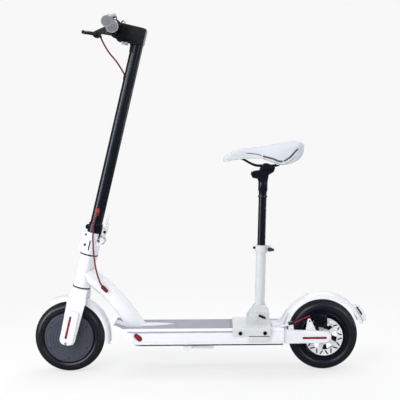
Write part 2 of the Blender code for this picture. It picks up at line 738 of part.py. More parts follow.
def head_tube(finish):
    """The tube that the fork turns in, bored for a headset cup at each end."""
    low, high = HEAD_TUBE_START, HEAD_TUBE_START + HEAD_TUBE_LENGTH
    waist = HEAD_TUBE_RADIUS - 0.0018
    profile = [(CUP_RADIUS, high), (HEAD_TUBE_RADIUS, high), (HEAD_TUBE_RADIUS, high - 0.012),
               (waist, high - 0.018), (waist, low + 0.018), (HEAD_TUBE_RADIUS, low + 0.012),
               (HEAD_TUBE_RADIUS, low), (CUP_RADIUS, low)]
    return turned("head_tube", profile, STEERING, finish, steps=24, closed=True)


def hinge_pin(name, radius, head_radius, reach, matrix):
    """A hinge pin that is fast in its ears, with a low head at each end."""
    profile = [(0, reach + 0.003), (head_radius, reach + 0.003), (head_radius, reach - 0.001),
               (radius, reach - 0.001)]
    profile += [(r, -z) for r, z in reversed(profile)]
    return turned(name, profile, matrix, None, steps=12)


def fold_base(finish):
    """The clamp on the steerer that carries the stem's hinge at its back."""
    bottom = HEAD_TUBE_START + HEAD_TUBE_LENGTH + HEADSET_FLANGE + 3 * GAP
    top = FOLD_BASE_TOP
    profile = [(0, top), (FOLD_BASE_RADIUS - 0.003, top), (FOLD_BASE_RADIUS, top - 0.003),
               (FOLD_BASE_RADIUS, bottom), (0, bottom)]
    base = turned("fold_base", profile, STEERING, finish, steps=20)
    pad = box("fold_base_pad", (0.020, 0.030, top - bottom - 0.006), (-0.0235, 0, (top + bottom) / 2),
              STEERING)
    soften(pad, 0.004, 1)
    ear_width = 2 * (KNUCKLE_HALF + KNUCKLE_EAR)
    ear_outline = ([(0.004, HINGE_S - KNUCKLE_RADIUS - 0.010)]
                   + arc(KNUCKLE_RADIUS, math.radians(-60), math.radians(75), 5, (HINGE_U, HINGE_S))
                   + [(0.016, top - 0.004), (0.004, top - 0.004)])
    ears = plate("fold_base_ears", ear_outline, ear_width, STEERING @ SIDE)
    join(base, pad, ears)
    slot_outline = [(STEERER_RADIUS + 0.0022, top + 0.004), (STEERER_RADIUS + 0.0022, HINGE_S - 0.014),
                    (HINGE_U + 0.030, HINGE_S - 0.014), (HINGE_U + 0.030, top + 0.004)]
    cut(base, plate("fold_base_slot", slot_outline, 2 * (KNUCKLE_HALF + GAP), STEERING @ SIDE))
    cut(base, rod("fold_base_bore", (0, 0, bottom - 0.01), (0, 0, STEERER_TOP + 0.0015),
                  STEERER_RADIUS + GAP, STEERING, sides=16))
    join(base, hinge_pin("fold_pin", HINGE_PIN_RADIUS, 0.0072, KNUCKLE_HALF + KNUCKLE_EAR,
                         place(SIDE, HINGE_U, 0, HINGE_S, STEERING)))
    slit_length = 0.034
    cut(base, box("fold_base_slit", (0.0022, 0.030, slit_length),
                  (-0.018, -0.020, bottom + slit_length / 2 - 0.001), STEERING))
    return base


def stem_foot(finish):
    """The black collar at the bottom of the stem: hinge lug, front ear and the fold lever's ears."""
    low = FOLD_BASE_TOP + GAP
    high = low + STEM_FOOT_HEIGHT
    profile = [(0, high), (STEM_FOOT_RADIUS - 0.0015, high), (STEM_FOOT_RADIUS, high - 0.0015),
               (STEM_FOOT_RADIUS, low), (0, low)]
    foot = turned("stem_foot", profile, STEERING, finish, steps=20)
    lug_outline = ([(0.0195, low + 0.006)]
                   + [(0.0195, HINGE_S - 0.002)]
                   + arc(KNUCKLE_RADIUS - 0.0012, math.radians(195), math.radians(390), 5,
                         (HINGE_U, HINGE_S))
                   + [(HINGE_U + 0.004, low + 0.006)])
    lug = plate("stem_foot_lug", lug_outline, 2 * KNUCKLE_HALF, STEERING @ SIDE)
    ear = plate("stem_foot_ear", rounded([(-0.030, low + 0.008, 0.004), (-0.015, low + 0.004, 0.001),
                                          (-0.015, low + 0.022, 0.001), (-0.030, low + 0.020, 0.004)]),
                0.018, STEERING @ SIDE)
    yoke_outline = ([(0.012, low + 0.0035)]
                    + arc(0.0065, math.radians(-70), math.radians(80), 4, (LEVER_PIVOT_U, LEVER_PIVOT_S))
                    + [(0.012, high - 0.003)])
    yoke = plate("stem_foot_yoke", yoke_outline, 0.024, STEERING @ SIDE)
    join(foot, lug, ear, yoke)
    cut(foot, box("stem_foot_yoke_slot", (0.030, 0.0128, 0.034),
                  (STEM_FOOT_RADIUS + 0.0035 + 0.015, 0, low + 0.0175 + 0.001), STEERING))
    cut(foot, rod("stem_foot_socket", (0, 0, low + 0.004), (0, 0, high + 0.02), STEM_RADIUS + GAP,
                  STEERING, sides=24))
    cut(foot, rod("stem_foot_pin_hole", (HINGE_U, -0.04, HINGE_S), (HINGE_U, 0.04, HINGE_S),
                  HINGE_PIN_RADIUS + GAP, STEERING, sides=12))
    cut(foot, rod("stem_foot_lever_hole", (LEVER_PIVOT_U, -0.02, LEVER_PIVOT_S),
                  (LEVER_PIVOT_U, 0.02, LEVER_PIVOT_S), 0.0028 + GAP, STEERING, sides=10))
    return foot


def fold_lever(finish):
    """The lever behind the stem that locks the fold, with its own pivot pin."""
    tip_u, tip_s = LEVER_TIP_U, LEVER_TIP_S
    root_u, root_s = LEVER_PIVOT_U, LEVER_PIVOT_S
    outline = rounded([
        (root_u - 0.0040, root_s - 0.0045, 0.003), (root_u + 0.0055, root_s - 0.0045, 0.004),
        (root_u + 0.0062, root_s + 0.012, 0.004), (tip_u + 0.0052, tip_s - 0.012, 0.02),
        (tip_u + 0.0090, tip_s, 0.002), (tip_u + 0.0050, tip_s + 0.002, 0.002),
        (tip_u - 0.0005, tip_s - 0.012, 0.02), (root_u - 0.0030, root_s + 0.012, 0.004)])
    lever = plate("fold_lever", outline, 0.0120, STEERING @ SIDE, finish)
    pin = rod("fold_lever_pin", (root_u, -0.0150, root_s), (root_u, 0.0150, root_s), 0.0028, STEERING,
              sides=10)
    join(lever, pin)
    return lever


def stem_tube(finish):
    """The long stem tube, with the holes that the brake cable runs through."""
    low = FOLD_BASE_TOP + GAP + 0.004 + GAP
    inner = STEM_RADIUS - STEM_WALL
    profile = [(inner, STEM_TOP), (STEM_RADIUS, STEM_TOP), (STEM_RADIUS, low), (inner, low)]
    stem = turned("stem_tube", profile, STEERING, finish, steps=24, closed=True)
    cut(stem, cable_room("stem_cable_room", CABLE_STEM_ROUTE, STEERING, 0.0016))
    return stem


# Head, bar and controls
def head(finish):
    """The T-shaped head that joins the stem to the bar, with a barrel round the bar."""
    low = 0.9620
    side_outline = rounded([
        (-0.0945, HEAD_TOP - 0.012, 0.010), (-0.0945, BAR_S - 0.0135, 0.012), (-0.062, low, 0.012),
        (-0.030, low - 0.004, 0.006), (-0.0215, 0.950, 0.004), (0.0215, 0.958, 0.004),
        (0.0215, HEAD_TOP - 0.001, 0.004), (-0.058, HEAD_TOP, 0.006)], steps=2)
    body = plate("head", side_outline, 2 * HEAD_HALF_WIDTH, STEERING @ SIDE, finish)
    soften(body, 0.004, 1, 50)
    barrel = rod("head_barrel", (BAR_U, -0.044, BAR_S), (BAR_U, 0.044, BAR_S), BAR_RADIUS + 0.0062,
                 STEERING, sides=16)
    join(body, barrel)
    cut(body, rod("head_bar_hole", (BAR_U, -0.06, BAR_S), (BAR_U, 0.06, BAR_S), BAR_RADIUS + GAP,
                  STEERING, sides=16))
    cut(body, rod("head_stem_hole", (0, 0, 0.90), (0, 0, STEM_TOP + GAP), STEM_RADIUS + GAP, STEERING,
                  sides=24))
    panel_bed = rounded([(-0.0640, -0.0195, 0.012), (0.0130, -0.0195, 0.012),
                         (0.0130, 0.0195, 0.012), (-0.0640, 0.0195, 0.012)], steps=2)
    cut(body, plate("head_panel_bed", panel_bed, 0.0050, place(PLAN, 0, 0, HEAD_TOP, STEERING)))
    cut(body, box("head_light_bed", (0.0200, 0.0300, 0.0240), (-0.0640, 0, low + 0.0060), STEERING))
    return body


def dash_panel(finish):
    """The glossy panel on top of the head, with a hole for the power button."""
    outline = rounded([(-0.0637, -0.0192, 0.0118), (0.0127, -0.0192, 0.0118),
                       (0.0127, 0.0192, 0.0118), (-0.0637, 0.0192, 0.0118)], steps=2)
    bottom = HEAD_TOP - 0.0025 + GAP
    top = HEAD_TOP + 0.0004
    return plate("dash_panel", outline, top - bottom, place(PLAN, 0, 0, (top + bottom) / 2, STEERING),
                 finish, [circle(0.0068, 16, (-0.0530, 0.0))])


def power_button(finish):
    """The round button at the front of the dash panel."""
    low = HEAD_TOP - 0.0008
    high = HEAD_TOP + 0.0014
    profile = [(0, high), (0.0050, high), (0.0062, high - 0.0006), (0.0062, low), (0, low)]
    return turned("power_button", profile, place(PLAN, -0.0530, 0, 0, STEERING), finish, steps=12)


def headlight(finish):
    """The lamp let into the front of the head."""
    body = box("headlight", (0.0190, 0.0290, 0.0225), (-0.0640, 0, 0.9678), STEERING, finish)
    soften(body, 0.003)
    cut(body, rod("headlight_reach", (BAR_U, -0.03, BAR_S), (BAR_U, 0.03, BAR_S), BAR_RADIUS + 2 * GAP,
                  STEERING, sides=16))
    return body


def handlebar(finish):
    """The straight bar, a tube."""
    inner = BAR_RADIUS - BAR_WALL
    profile = [(inner, BAR_HALF_LENGTH), (BAR_RADIUS, BAR_HALF_LENGTH),
               (BAR_RADIUS, -BAR_HALF_LENGTH), (inner, -BAR_HALF_LENGTH)]
    return turned("handlebar", profile, place(SIDE, BAR_U, 0, BAR_S, STEERING), finish, steps=16,
                  closed=True)


def grip(name, side, finish):
    """A rubber grip with a flange, closed over the bar's end."""
    end = BAR_HALF_LENGTH + GRIP_PLUG
    start = GRIP_START
    bore = BAR_RADIUS + GAP
    flange = GRIP_RADIUS + 0.0022
    profile = [(0, end), (GRIP_RADIUS - 0.003, end), (GRIP_RADIUS, end - 0.003),
               (GRIP_RADIUS, start + 0.0055),
               (flange, start + 0.004), (flange, start), (bore, start), (bore, BAR_HALF_LENGTH + GAP),
               (0, BAR_HALF_LENGTH + GAP)]
    if side > 0:
        profile = [(r, -z) for r, z in reversed(profile)]
    return turned(name, profile, place(SIDE, BAR_U, 0, BAR_S, STEERING), finish, steps=16)


def brake_perch(finish):
    """The brake lever's clamp on the bar, with the lever's fork and the cable's barrel."""
    clamp = rod("brake_perch", (BAR_U, PERCH_Y - PERCH_WIDTH / 2, BAR_S),
                (BAR_U, PERCH_Y + PERCH_WIDTH / 2, BAR_S),
                BAR_RADIUS + 0.0055, STEERING, finish, sides=16)
    neck = plate("perch_neck", rounded([
        (BAR_U - 0.008, BAR_S + 0.012, 0.004), (BAR_U - 0.042, BAR_S - 0.002, 0.008),
        (BAR_U - 0.046, BAR_S - 0.022, 0.008), (BAR_U - 0.024, BAR_S - 0.027, 0.006),
        (BAR_U - 0.004, BAR_S - 0.013, 0.004)]), 0.018, place(SIDE, 0, PERCH_Y, 0, STEERING))
    soften(neck, 0.002, 1)
    barrel = rod("perch_barrel", (BAR_U - 0.026, PERCH_Y + 0.004, BAR_S - 0.020),
                 (BAR_U - 0.0195, PERCH_Y + 0.012, BAR_S - 0.034), 0.0045, STEERING, sides=12)
    join(clamp, neck, barrel)
    cut(clamp, rod("perch_bar_hole", (BAR_U, -0.12, BAR_S), (BAR_U, -0.04, BAR_S), BAR_RADIUS + GAP,
                   STEERING, sides=16))
    pivot = lever_pivot()
    room = box("perch_lever_room", (0.036, 0.050, 0.0112), (pivot.x - 0.0085, pivot.y, pivot.z), STEERING)
    pin = rod("perch_pin", pivot - Vector((0, 0, 0.0110)), pivot + Vector((0, 0, 0.0095)), 0.0030, STEERING)
    cut(clamp, room)
    join(clamp, pin)
    return clamp


def lever_pivot():
    """The middle of the brake lever's pivot in the leaning frame."""
    return Vector((BAR_U - 0.0370, PERCH_Y - 0.0045, BAR_S - 0.0120))


def brake_lever(finish):
    """The curved lever blade, tapering from the eye on its pivot to a rounded tip."""
    root = lever_pivot()
    route = [root + Vector(step) for step in (
        (-0.002, -0.002, 0.000), (-0.005, -0.010, 0.000), (-0.012, -0.020, -0.002), (-0.024, -0.038, -0.004),
        (-0.032, -0.062, -0.006), (-0.036, -0.088, -0.007), (-0.038, -0.108, -0.008))]
    points = smooth_route(route, 0.0110)
    count = len(points)
    radii = [1.0 - 0.12 * i / (count - 1) for i in range(count)]
    blade = tube("brake_lever", [(p.x, p.y, 0) for p in points], 0.0042, WORLD, finish, rings=2, radii=radii)
    stretch = 1.22
    for vertex in blade.data.vertices:
        near = min(points, key=lambda p: (p.x - vertex.co.x) ** 2 + (p.y - vertex.co.y) ** 2)
        vertex.co.z = vertex.co.z * stretch + near.z
    blade.matrix_world = STEERING
    eye = rod("lever_eye", root - Vector((0, 0, 0.0052)), root + Vector((0, 0, 0.0052)), 0.0075, STEERING,
              sides=16)
    join(blade, eye)
    cut(blade, rod("lever_eye_hole", root - Vector((0, 0, 0.02)), root + Vector((0, 0, 0.02)), 0.0030 + GAP,
                   STEERING))
    return blade


def throttle(finish):
    """The thumb throttle's turning ring and paddle."""
    half = 0.0060
    bore = BAR_RADIUS + GAP
    ring = turned("throttle", [(bore, half), (BAR_RADIUS + 0.0050, half), (BAR_RADIUS + 0.0050, -half),
                               (bore, -half)],
                  place(SIDE, BAR_U, THROTTLE_Y, BAR_S, STEERING), finish, steps=16, closed=True)
    paddle = plate("throttle_paddle", rounded([
        (0.0128, 0.006, 0.002), (0.0128, -0.006, 0.002), (0.030, -0.024, 0.004),
        (0.043, -0.024, 0.004), (0.036, -0.014, 0.006)]), 0.011,
        place(SIDE, BAR_U, THROTTLE_Y, BAR_S, STEERING))
    soften(paddle, 0.002, 1)
    join(ring, paddle)
    return ring


def bell(finish):
    """The bell: a clamp on the bar and a dome standing above it."""
    foot = rod("bell", (BAR_U, BELL_Y - 0.007, BAR_S), (BAR_U, BELL_Y + 0.007, BAR_S), BAR_RADIUS + 0.004,
               STEERING, finish, sides=16)
    dome_profile = [(0, BELL_HEIGHT)] + [
        (BELL_RADIUS * math.sin(a), BELL_HEIGHT - 0.0125 * (1 - math.cos(a)))
        for a in (math.radians(30 * i) for i in range(1, 4))] + [
        (BELL_RADIUS, 0.0235), (BELL_RADIUS - 0.002, 0.0215), (0.0075, 0.0215), (0.0065, 0.0060),
        (0, 0.0060)]
    dome = turned("bell_dome", dome_profile, place(PLAN, BAR_U, BELL_Y, BAR_S, STEERING), None, steps=16)
    join(foot, dome)
    cut(foot, rod("bell_bar_hole", (BAR_U, BELL_Y - 0.03, BAR_S), (BAR_U, BELL_Y + 0.03, BAR_S),
                  BAR_RADIUS + GAP, STEERING, sides=16))
    return foot


def bell_lever(finish):
    """The bell's striker lever, ending in the ring that latches the folded stem."""
    plate_y = BELL_Y
    outline = rounded([(0.0190, 0.0160, 0.003), (0.0200, 0.0105, 0.002), (0.0285, 0.0080, 0.002),
                       (0.0345, 0.0245, 0.0075), (0.0200, 0.0330, 0.0075)], steps=3)
    lever = plate("bell_lever", outline, 0.0045, place(SIDE, BAR_U, plate_y, BAR_S, STEERING), finish,
                  [circle(0.0042, 12, (0.0265, 0.0225))])
    strap = plate("bell_lever_strap", [(0.0060, -0.0032), (0.0215, -0.0020), (0.0215, 0.0020),
                                       (0.0060, 0.0032)],
                  0.0026, place(PLAN, BAR_U, BELL_Y, BAR_S + 0.0182, STEERING))
    collar = disc("bell_lever_collar", 0.0112, 0.0026, place(PLAN, BAR_U, BELL_Y, BAR_S + 0.0182, STEERING),
                  sides=16)
    join(lever, strap, collar)
    cut(lever, disc("bell_neck_room", 0.0079, 0.0300, place(PLAN, BAR_U, BELL_Y, BAR_S + 0.0182, STEERING),
                    sides=16))
    return lever


# Frame

def oval_bar(name, route, depth, width, finish=None):
    """A bar of oval section along a route in the middle plane."""
    item = tube(name, route, depth / 2, WORLD, finish, rings=3)
    for vertex in item.data.vertices:
        vertex.co.y *= width / depth
    return item


def down_tube(finish):
    """The oval tube from the head tube to the deck, open inside, coped at both ends."""
    body = oval_bar("down_tube", DOWN_TUBE_PATH, DOWN_TUBE_DEPTH, DOWN_TUBE_WIDTH, finish)
    bore = oval_bar("down_tube_bore", DOWN_TUBE_PATH, DOWN_TUBE_DEPTH - 2 * DOWN_TUBE_WALL,
                    DOWN_TUBE_WIDTH - 2 * DOWN_TUBE_WALL)
    cut(body, bore)
    cut(body, rod("down_tube_cope", (0, 0, 0.05), (0, 0, 0.45), HEAD_TUBE_RADIUS + GAP, STEERING, sides=28))
    cut(body, box("down_tube_front_trim", (0.10, 0.12, 0.30), (-0.050, 0, 0.22), STEERING))
    cut(body, box("down_tube_foot_trim", (0.30, 0.12, 0.10), (NOSE_START + 0.028, 0, DECK_TOP + GAP - 0.05)))
    cut(body, plate("down_tube_grommet_seat", grommet_outline(GAP), 0.012, grommet_place()))
    return body


def grommet_place():
    """Where the red grommet lies on the down tube's left side: its outer face is local z = 0."""
    return (Matrix.Translation((FRONT_AXLE_X + GROMMET_REACH, -DOWN_TUBE_WIDTH / 2 - 0.0010,
                                GROMMET_RISE)) @ SIDE
            @ Matrix.Rotation(GROMMET_SLOPE, 4, "Z"))


def grommet_outline(extra=0.0):
    """The grommet's oblong."""
    long_, wide = GROMMET_LENGTH / 2 + extra, GROMMET_WIDTH / 2 + extra
    return rounded([(-long_, -wide, wide), (long_, -wide, wide), (long_, wide, wide), (-long_, wide, wide)],
                   5)


def frame_grommet(finish):
    """The rubber grommet that takes the brake cable into the down tube."""
    plug = plate("frame_grommet", grommet_outline(), GROMMET_HEIGHT, grommet_place(), finish)
    cut(plug, rod("grommet_hole", (-0.0136, 0.0020, 0.0060), (0.0107, -0.0026, -0.0075),
                  CABLE_RADIUS + 0.0005,
                  grommet_place(), sides=12))
    cut(plug, cable_room("grommet_loop_room", CABLE_LOOP_ROUTE))
    cut(plug, cable_room("grommet_frame_room", CABLE_FRAME_ROUTE, spacing=HIDDEN_STEP))
    return plug


def cable_room(name, route, matrix=WORLD, extra=0.0005, spacing=None):
    """A cutter that clears the brake cable along one of its routes."""
    return tube(name, smooth_route(route, spacing or CABLE_STEP), CABLE_RADIUS + extra, matrix, rings=1)


def deck_tray(finish):
    """The deck's shell: closed top and sides with a groove along them, open below, raised nose."""
    wide = DECK_HALF_WIDTH
    rim = DECK_TOP + MAT_THICKNESS
    bed = MAT_HALF_WIDTH + 0.0006
    right = [(bed, DECK_TOP), (bed, rim), (bed + 0.0045, rim), (wide - 0.0018, rim - 0.0060),
             (wide - 0.0008, rim - 0.0078), (wide - 0.0028, rim - 0.0090), (wide - 0.0028, rim - 0.0105),
             (wide - 0.0006, rim - 0.0120), (wide, rim - 0.0200), (wide, DECK_BOTTOM + 0.0080),
             (wide - 0.0020, DECK_BOTTOM + 0.0020), (wide - 0.0050, DECK_BOTTOM)]
    section = right + [(-y, z) for y, z in reversed(right)]
    middle = (DECK_REAR + NOSE_END) / 2
    length = DECK_REAR - NOSE_END
    tray = plate("deck_tray", section, length, place(FRONT, middle), finish)
    nose = nose_block()
    join(tray, nose)
    plan_outline = deck_plan(0.0, DECK_REAR)
    side_outline = [(DECK_REAR + 0.01, 0.08), (DECK_REAR + 0.01, 0.20), (NOSE_END - 0.01, 0.20),
                    (NOSE_END - 0.01, DECK_TOP + 0.006), (NOSE_END + 0.008, DECK_TOP + 0.0015),
                    (NOSE_END + 0.025, DECK_TOP - 0.003),
                    (UNDERSIDE_START, DECK_BOTTOM), (UNDERSIDE_START, 0.08)]
    cut(tray, plate("deck_plan", plan_outline, 0.30, place(PLAN, 0, 0, 0.12)), "INTERSECT")
    cut(tray, plate("deck_side", side_outline, 0.30, SIDE), "INTERSECT")
    inside_front = UNDERSIDE_START + 0.012
    inside_rear = DECK_REAR - DECK_WALL
    bay = box("deck_bay", (inside_rear - inside_front, 2 * (wide - 0.006), DECK_TOP - DECK_WALL - 0.05),
              ((inside_rear + inside_front) / 2, 0, (DECK_TOP - DECK_WALL + 0.05) / 2))
    cut(tray, bay)
    cut(tray, oval_bar("deck_tube_room", DOWN_TUBE_PATH[-5:-1],
                       DOWN_TUBE_DEPTH + 2 * GAP, DOWN_TUBE_WIDTH + 2 * GAP))
    front_hole = NOSE_START + 0.028
    cut(tray, rod("deck_front_cable_hole", (front_hole, -0.006, DECK_TOP - 0.022),
                  (front_hole, -0.006, DECK_TOP + 0.008),
                  0.0060, sides=12))
    cut(tray, rod("deck_rear_cable_hole", (DECK_REAR - 0.0183, -0.0520, DECK_TOP - 0.012),
                  (DECK_REAR - 0.0073, -0.0520, DECK_TOP + 0.010), 0.0046, sides=12))
    cut(tray, plate("deck_port_recess", flap_outline(GAP), 0.004, flap_place()))
    cut(tray, rod("deck_port_hole", (FLAP_X, -0.060, FLAP_Z), (FLAP_X, -0.080, FLAP_Z), 0.0065, sides=16))
    return tray


def deck_plan(inset, rear):
    """The deck seen from above: straight sides and a tapered, rounded nose."""
    wide = DECK_HALF_WIDTH - inset + 0.0005
    taper = NOSE_START + 0.023
    return rounded([(rear, -wide, 0.003), (rear, wide, 0.003), (taper, wide, 0.05),
                    (NOSE_END + inset, 0.046, 0.016),
                    (NOSE_END + inset, -0.046, 0.016), (taper, -wide, 0.05)])


def nose_line(lift):
    """The rise of the deck's nose as points of x and z, the top surface lifted by a thickness."""
    points = []
    count = 8
    for index in range(count + 1):
        share = index / count
        x = NOSE_START + (NOSE_END + 0.006 - NOSE_START) * share
        points.append((x, DECK_TOP + lift + NOSE_RISE * (share * share * (3 - 2 * share))))
    return points


def nose_block():
    """The raised ramp at the front of the deck, under the mat's two prongs."""
    outline = [(NOSE_START + 0.002, DECK_TOP - 0.004), *nose_line(0.0),
               (NOSE_END, DECK_TOP + NOSE_RISE - 0.003),
               (NOSE_END, DECK_TOP - 0.004)]
    return plate("deck_nose", outline, 2 * MAT_HALF_WIDTH + 0.004, SIDE)


def deck_mat(finish):
    """The rubber mat: two prongs round the down tube, a notch, a raised front, a groove by the seat."""
    bottom = nose_line(GAP)
    top = nose_line(GAP + MAT_THICKNESS)
    side = ([(MAT_REAR, DECK_TOP + GAP)] + bottom + [(NOSE_END + 0.003, DECK_TOP + NOSE_RISE + 0.001)]
            + list(reversed(top)) + [(MAT_REAR, DECK_TOP + GAP + MAT_THICKNESS)])
    mat = plate("deck_mat", side, 0.20, SIDE, finish)
    tube_side = DOWN_TUBE_WIDTH / 2 + 0.0035
    wide = MAT_HALF_WIDTH
    taper, notch = NOSE_START + 0.013, NOSE_START + 0.038
    half = [(MAT_REAR, wide, 0.004), (taper, wide, 0.04), (NOSE_END + 0.003, tube_side + 0.016, 0.006),
            (NOSE_END + 0.003, tube_side, 0.006), (notch, tube_side, 0.02), (notch + 0.018, 0.020, 0.02)]
    outline = rounded(half + [(MAT_NOTCH_TIP, 0.0, 0.0)] + [(x, -y, radius) for x, y,
                                                            radius in reversed(half)])
    cut(mat, plate("mat_plan", outline, 0.20, place(PLAN, 0, 0, 0.12)), "INTERSECT")
    groove_x = SEAT_FRONT - MAT_GROOVE_SETBACK
    cut(mat, box("mat_groove", (MAT_GROOVE_WIDTH, 4 * wide, 2 * MAT_GROOVE_DEPTH),
                 (groove_x, 0, DECK_TOP + GAP + MAT_THICKNESS)))
    return mat


def bottom_cover(finish):
    """The cover under the deck, with three skid ribs and the kickstand's bracket."""
    top = DECK_BOTTOM - GAP
    bottom = top - COVER_THICKNESS
    outline = rounded([(DECK_REAR - 0.001, -0.0695, 0.004), (DECK_REAR - 0.001, 0.0695, 0.004),
                       (UNDERSIDE_START + 0.004, 0.0695, 0.03), (UNDERSIDE_START + 0.004, -0.0695, 0.03)])
    cover = plate("bottom_cover", outline, COVER_THICKNESS, place(PLAN, 0, 0, (top + bottom) / 2), finish)
    soften(cover, 0.0025)
    front, rear = battery_ends()
    for index in range(3):
        rib_y = 0.026 * (index - 1)
        rib = box(f"cover_rib_{index}", (rear - front - 0.040, 0.006, 0.003),
                  ((front + rear) / 2, rib_y, bottom - 0.0008))
        join(cover, rib)
    bracket = box("stand_bracket", (0.030, 0.026, 0.0165), (STAND_X, STAND_Y, bottom - 0.0065))
    soften(bracket, 0.002)
    join(cover, bracket)
    room = box("stand_room", (0.060, 0.0152, 0.0150), (STAND_X + 0.010, STAND_Y - 0.0014, bottom - 0.0090))
    cut(cover, room)
    cut(cover, rod("stand_pin_hole", stand_point(-0.03), stand_point(0.03), 0.0025 + GAP, sides=12))
    return cover


def stand_axis():
    """The kickstand's pivot axis, tipped so that the leg swings down and outward."""
    return Vector((0, math.cos(STAND_SPLAY), -math.sin(STAND_SPLAY)))


def stand_pivot():
    """The middle of the kickstand's pivot."""
    return Vector((STAND_X, STAND_Y, DECK_BOTTOM - GAP - COVER_THICKNESS - 0.0085))


def stand_point(along):
    """A point of the kickstand's pivot axis."""
    return tuple(stand_pivot() + stand_axis() * along)


def kickstand(finish):
    """The folded kickstand: an eye on its pin and a round leg with a rubber foot's shape at its end."""
    pivot = stand_pivot()
    leg_end = pivot + Vector((STAND_LENGTH, 0, 0.0))
    route = [pivot - Vector((0.004, 0, 0)), leg_end]
    leg = tube("kickstand", route, STAND_RADIUS, WORLD, finish, rings=2)
    foot = rod("kickstand_foot", leg_end - Vector((0.014, 0, 0)), leg_end + Vector((0.002, 0, 0)),
               STAND_RADIUS + 0.0012, sides=12)
    pin = rod("kickstand_pin", stand_point(-0.0125), stand_point(0.0125), 0.0025, sides=12)
    join(leg, foot, pin)
    return leg


def battery_ends():
    """Where the battery starts and ends along the deck."""
    return NOSE_END + BATTERY_SETBACK, DECK_REAR - BATTERY_MARGIN


def battery_pack(finish):
    """The battery in the deck."""
    front, rear = battery_ends()
    low = DECK_BOTTOM + 0.0005
    high = DECK_TOP - DECK_WALL - 0.0015
    pack = box("battery_pack", (rear - front, BATTERY_WIDTH, high - low),
               ((front + rear) / 2, 0, (low + high) / 2),
               WORLD, finish)
    return soften(pack, 0.004)


def motor_controller(finish):
    """The finned motor controller in front of the battery."""
    low = DECK_BOTTOM + 0.0005
    high = DECK_TOP - DECK_WALL - 0.0115
    middle = NOSE_END + CONTROLLER_SETBACK
    block = box("motor_controller", (CONTROLLER_LENGTH, CONTROLLER_WIDTH, high - low),
                (middle, CONTROLLER_Y, (low + high) / 2), WORLD, finish)
    for index in range(6):
        fin_y = CONTROLLER_Y - 0.027 + 0.0108 * index
        fin = box(f"controller_fin_{index}", (CONTROLLER_LENGTH - 0.008, 0.003, 0.012),
                  (middle, fin_y, high + 0.003))
        join(block, fin)
    return block


def flap_place():
    """Where the charge port's flap lies in the deck's left side."""
    return place(SIDE, FLAP_X, -DECK_HALF_WIDTH, FLAP_Z) @ Matrix.Rotation(math.radians(-38), 4, "Z")


def flap_outline(extra=0.0):
    """The flap's slanted oblong."""
    long_, wide = FLAP_LENGTH / 2 + extra, FLAP_HEIGHT / 2 + extra
    return rounded([(-long_, -wide, 0.008), (long_, -wide, 0.008), (long_, wide, 0.008),
                    (-long_, wide, 0.008)])


def charge_flap(finish):
    """The rubber flap over the charge port, with a plug that enters the port."""
    middle = FLAP_THICKNESS / 2 - 0.0017
    flap = plate("charge_flap", flap_outline(), FLAP_THICKNESS,
                 flap_place() @ Matrix.Translation((0, 0, middle)), finish)
    soften(flap, 0.0008)
    return flap


def rear_fork(finish):
    """The rear arms behind the deck, with dropouts, the caliper's lug and the cable's stop."""
    front = DECK_REAR + GAP
    outer = ARM_INNER + ARM_PLATE
    ax, az = REAR_AXLE.x, REAR_AXLE.z
    outline = ([(front, 0.0985), (front, 0.1385), (ax - 0.0905, 0.1360), (ax - 0.0385, 0.1345)]
               + arc(0.0165, math.radians(72), math.radians(-95), 8, (ax, az))
               + [(ax - 0.0605, 0.0985)])
    arms = plate("rear_fork", outline, 2 * outer, SIDE, finish)
    hollow = box("rear_fork_hollow", (0.20, 2 * ARM_INNER, 0.20), (front + REAR_BLOCK + 0.10, 0, 0.13))
    cut(arms, hollow)
    plate_y = -(ARM_INNER + ARM_PLATE / 2)
    lug_outline = rounded([(ax - 0.0615, 0.120, 0.001), (ax - 0.0185, 0.120, 0.001),
                           (ax - 0.0315, 0.1450, 0.010),
                           (ax - 0.0385, 0.1600, 0.004), (ax - 0.0435, 0.1715, 0.003),
                           (ax - 0.0515, 0.1715, 0.003)])
    lug = plate("caliper_lug", lug_outline, ARM_PLATE, place(SIDE, 0, plate_y, 0))
    stop_outline = rounded([(ax - 0.1145, 0.130, 0.001), (ax - 0.0945, 0.130, 0.001),
                            (ax - 0.0995, 0.1630, 0.003),
                            (ax - 0.1105, 0.1630, 0.003)])
    stop = plate("cable_stop", stop_outline, ARM_PLATE, place(SIDE, 0, plate_y, 0))
    join(arms, lug, stop)
    cut(arms, rod("rear_dropouts", (ax, -0.07, az), (ax, 0.07, az), AXLE_RADIUS + GAP, sides=16))
    cut(arms, rod("cable_stop_hole", (ax - 0.1205, plate_y, 0.1515), (ax - 0.0905, plate_y, 0.1600),
                  CABLE_RADIUS + GAP, sides=12))
    return arms


